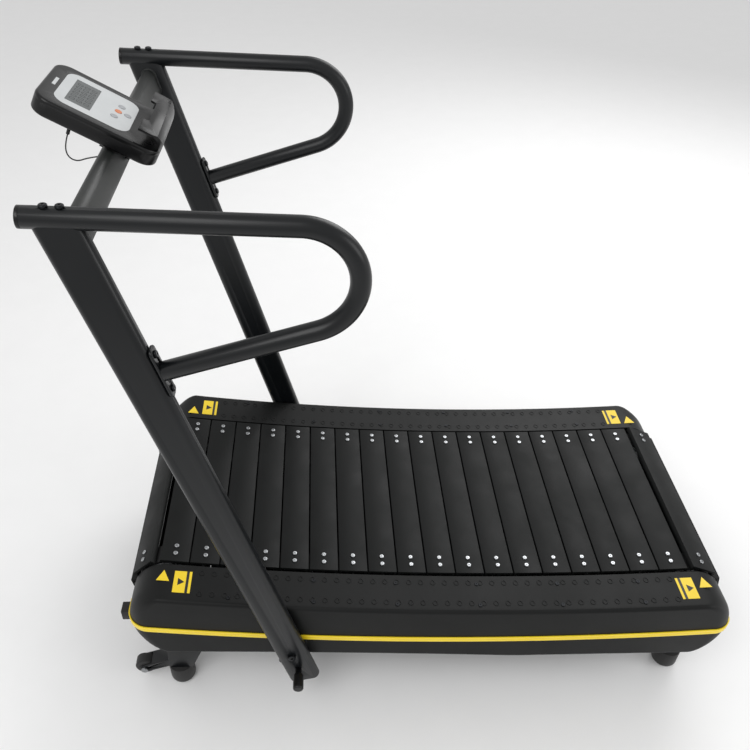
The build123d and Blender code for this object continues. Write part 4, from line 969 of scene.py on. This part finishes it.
@dataclass(frozen=True)
class ConsoleCable:
    """The thin sensor cable from the console down to the crossbar."""

    route: tuple[tuple[float, float, float], ...] = (
        (-0.689, -0.078, 1.376), (-0.699, -0.077, 1.355), (-0.699, -0.076, 1.333),
        (-0.684, -0.075, 1.323), (-0.662, -0.074, 1.330), (-0.638, -0.073, 1.332))
    diameter: float = 0.0025
    length: float = 0.107

    def build(self) -> None:
        data = bpy.data.curves.new("console_cable_line", "CURVE")
        data.dimensions = "3D"
        line = data.splines.new("NURBS")
        line.points.add(len(self.route) - 1)
        for point, place in zip(line.points, self.route):
            point.co = (*place, 1.0)
        line.order_u = 3
        line.use_endpoint_u = True
        line.resolution_u = 16
        data.bevel_depth = self.diameter / 2
        data.bevel_resolution = 4
        data.use_fill_caps = True
        data.materials.append(SHEATH.material())
        cable = bpy.data.objects.new("console_lead", data)
        bpy.context.scene.collection.objects.link(cable)
        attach(cable, "handrail_frame")
        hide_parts("console_cable")
        log.info("console_lead rides on handrail_frame")


# ---------------------------------------------------------------- studio
@dataclass(frozen=True)
class Studio:
    """The camera, the pale floor and the soft lights."""

    camera_at: tuple[float, float, float] = (-0.2406, -1.4443, 1.9047)
    camera_turn: tuple[float, float, float] = (51.26, 0.0, -1.29)
    lens: float = 37.59
    shift: tuple[float, float] = (0.0495, 0.0063)
    floor_size: float = 30.0
    wall_colour: str = "#f1f1f1"
    wall_strength: float = 0.84
    light_power: float = 52.0
    rim_share: float = 1.2
    side_share: float = 0.5
    light_aim: tuple[float, float, float] = (0.0, 0.0, 0.6)
    sensor_width: float = 36.0
    floor_gap: float = 0.0005

    def make_camera(self) -> None:
        """Sets up the camera."""
        data = bpy.data.cameras.new("studio_camera")
        data.lens = self.lens
        data.sensor_width = self.sensor_width
        data.shift_x, data.shift_y = self.shift
        camera = bpy.data.objects.new("studio_camera", data)
        camera.location = self.camera_at
        camera.rotation_euler = [math.radians(angle) for angle in self.camera_turn]
        bpy.context.scene.collection.objects.link(camera)
        bpy.context.scene.camera = camera

    def make_floor(self) -> None:
        """Lays the floor, just under the feet."""
        work = bmesh.new()
        bmesh.ops.create_grid(work, x_segments=1, y_segments=1, size=self.floor_size / 2)
        data = bpy.data.meshes.new("studio_floor")
        work.to_mesh(data)
        work.free()
        floor = bpy.data.objects.new("studio_floor", data)
        floor.location.z = -self.floor_gap
        paper = Finish("matt_paper_floor", "#ededed", "#f2f2f2", 0.85, grain_mm=6.0, grain_depth_mm=0.0)
        data.materials.append(paper.material())
        bpy.context.scene.collection.objects.link(floor)

    def make_light(self, name: str, place: tuple[float, float, float], size: float, power: float) -> None:
        """Hangs one soft square light, aimed at the machine.

        Args:
            name: the light's name.
            place: where it hangs.
            size: its side.
            power: its power.
        """
        data = bpy.data.lights.new(name, "AREA")
        data.size = size
        data.energy = power
        light = bpy.data.objects.new(name, data)
        light.location = place
        aim = Vector(self.light_aim) - Vector(place)
        light.rotation_euler = aim.to_track_quat("-Z", "Y").to_euler()
        bpy.context.scene.collection.objects.link(light)

    def build(self) -> None:
        """Makes the floor, the lights and the pale surroundings."""
        self.make_floor()
        self.make_light("key_light", (-1.6, -2.4, 3.6), 2.2, self.light_power)
        self.make_light("rim_light", (1.8, 2.6, 3.0), 2.6, self.light_power * self.rim_share)
        self.make_light("side_light", (3.4, -1.4, 2.0), 1.8, self.light_power * self.side_share)
        world = bpy.data.worlds.new("studio_surroundings")
        world.use_nodes = True
        wall = world.node_tree.nodes["Background"]
        wall.inputs["Color"].default_value = linear(self.wall_colour)
        wall.inputs["Strength"].default_value = self.wall_strength
        bpy.context.scene.world = world
        bpy.context.scene.view_settings.view_transform = "Standard"


def main() -> None:
    """Builds the scene in order."""
    logging.basicConfig(level=logging.INFO, format="%(name)s: %(message)s")
    studio = Studio()
    studio.make_camera()
    ConsoleCable().build()
    PackedParts().dress()
    for name, side in (("left", -1), ("right", 1)):
        SideCover().build(name, side)
    CoverTops().build()
    SlatBelt().build()
    FrameWelds().build()
    Console().build()
    studio.build()


if __name__ == "__main__":
    main()
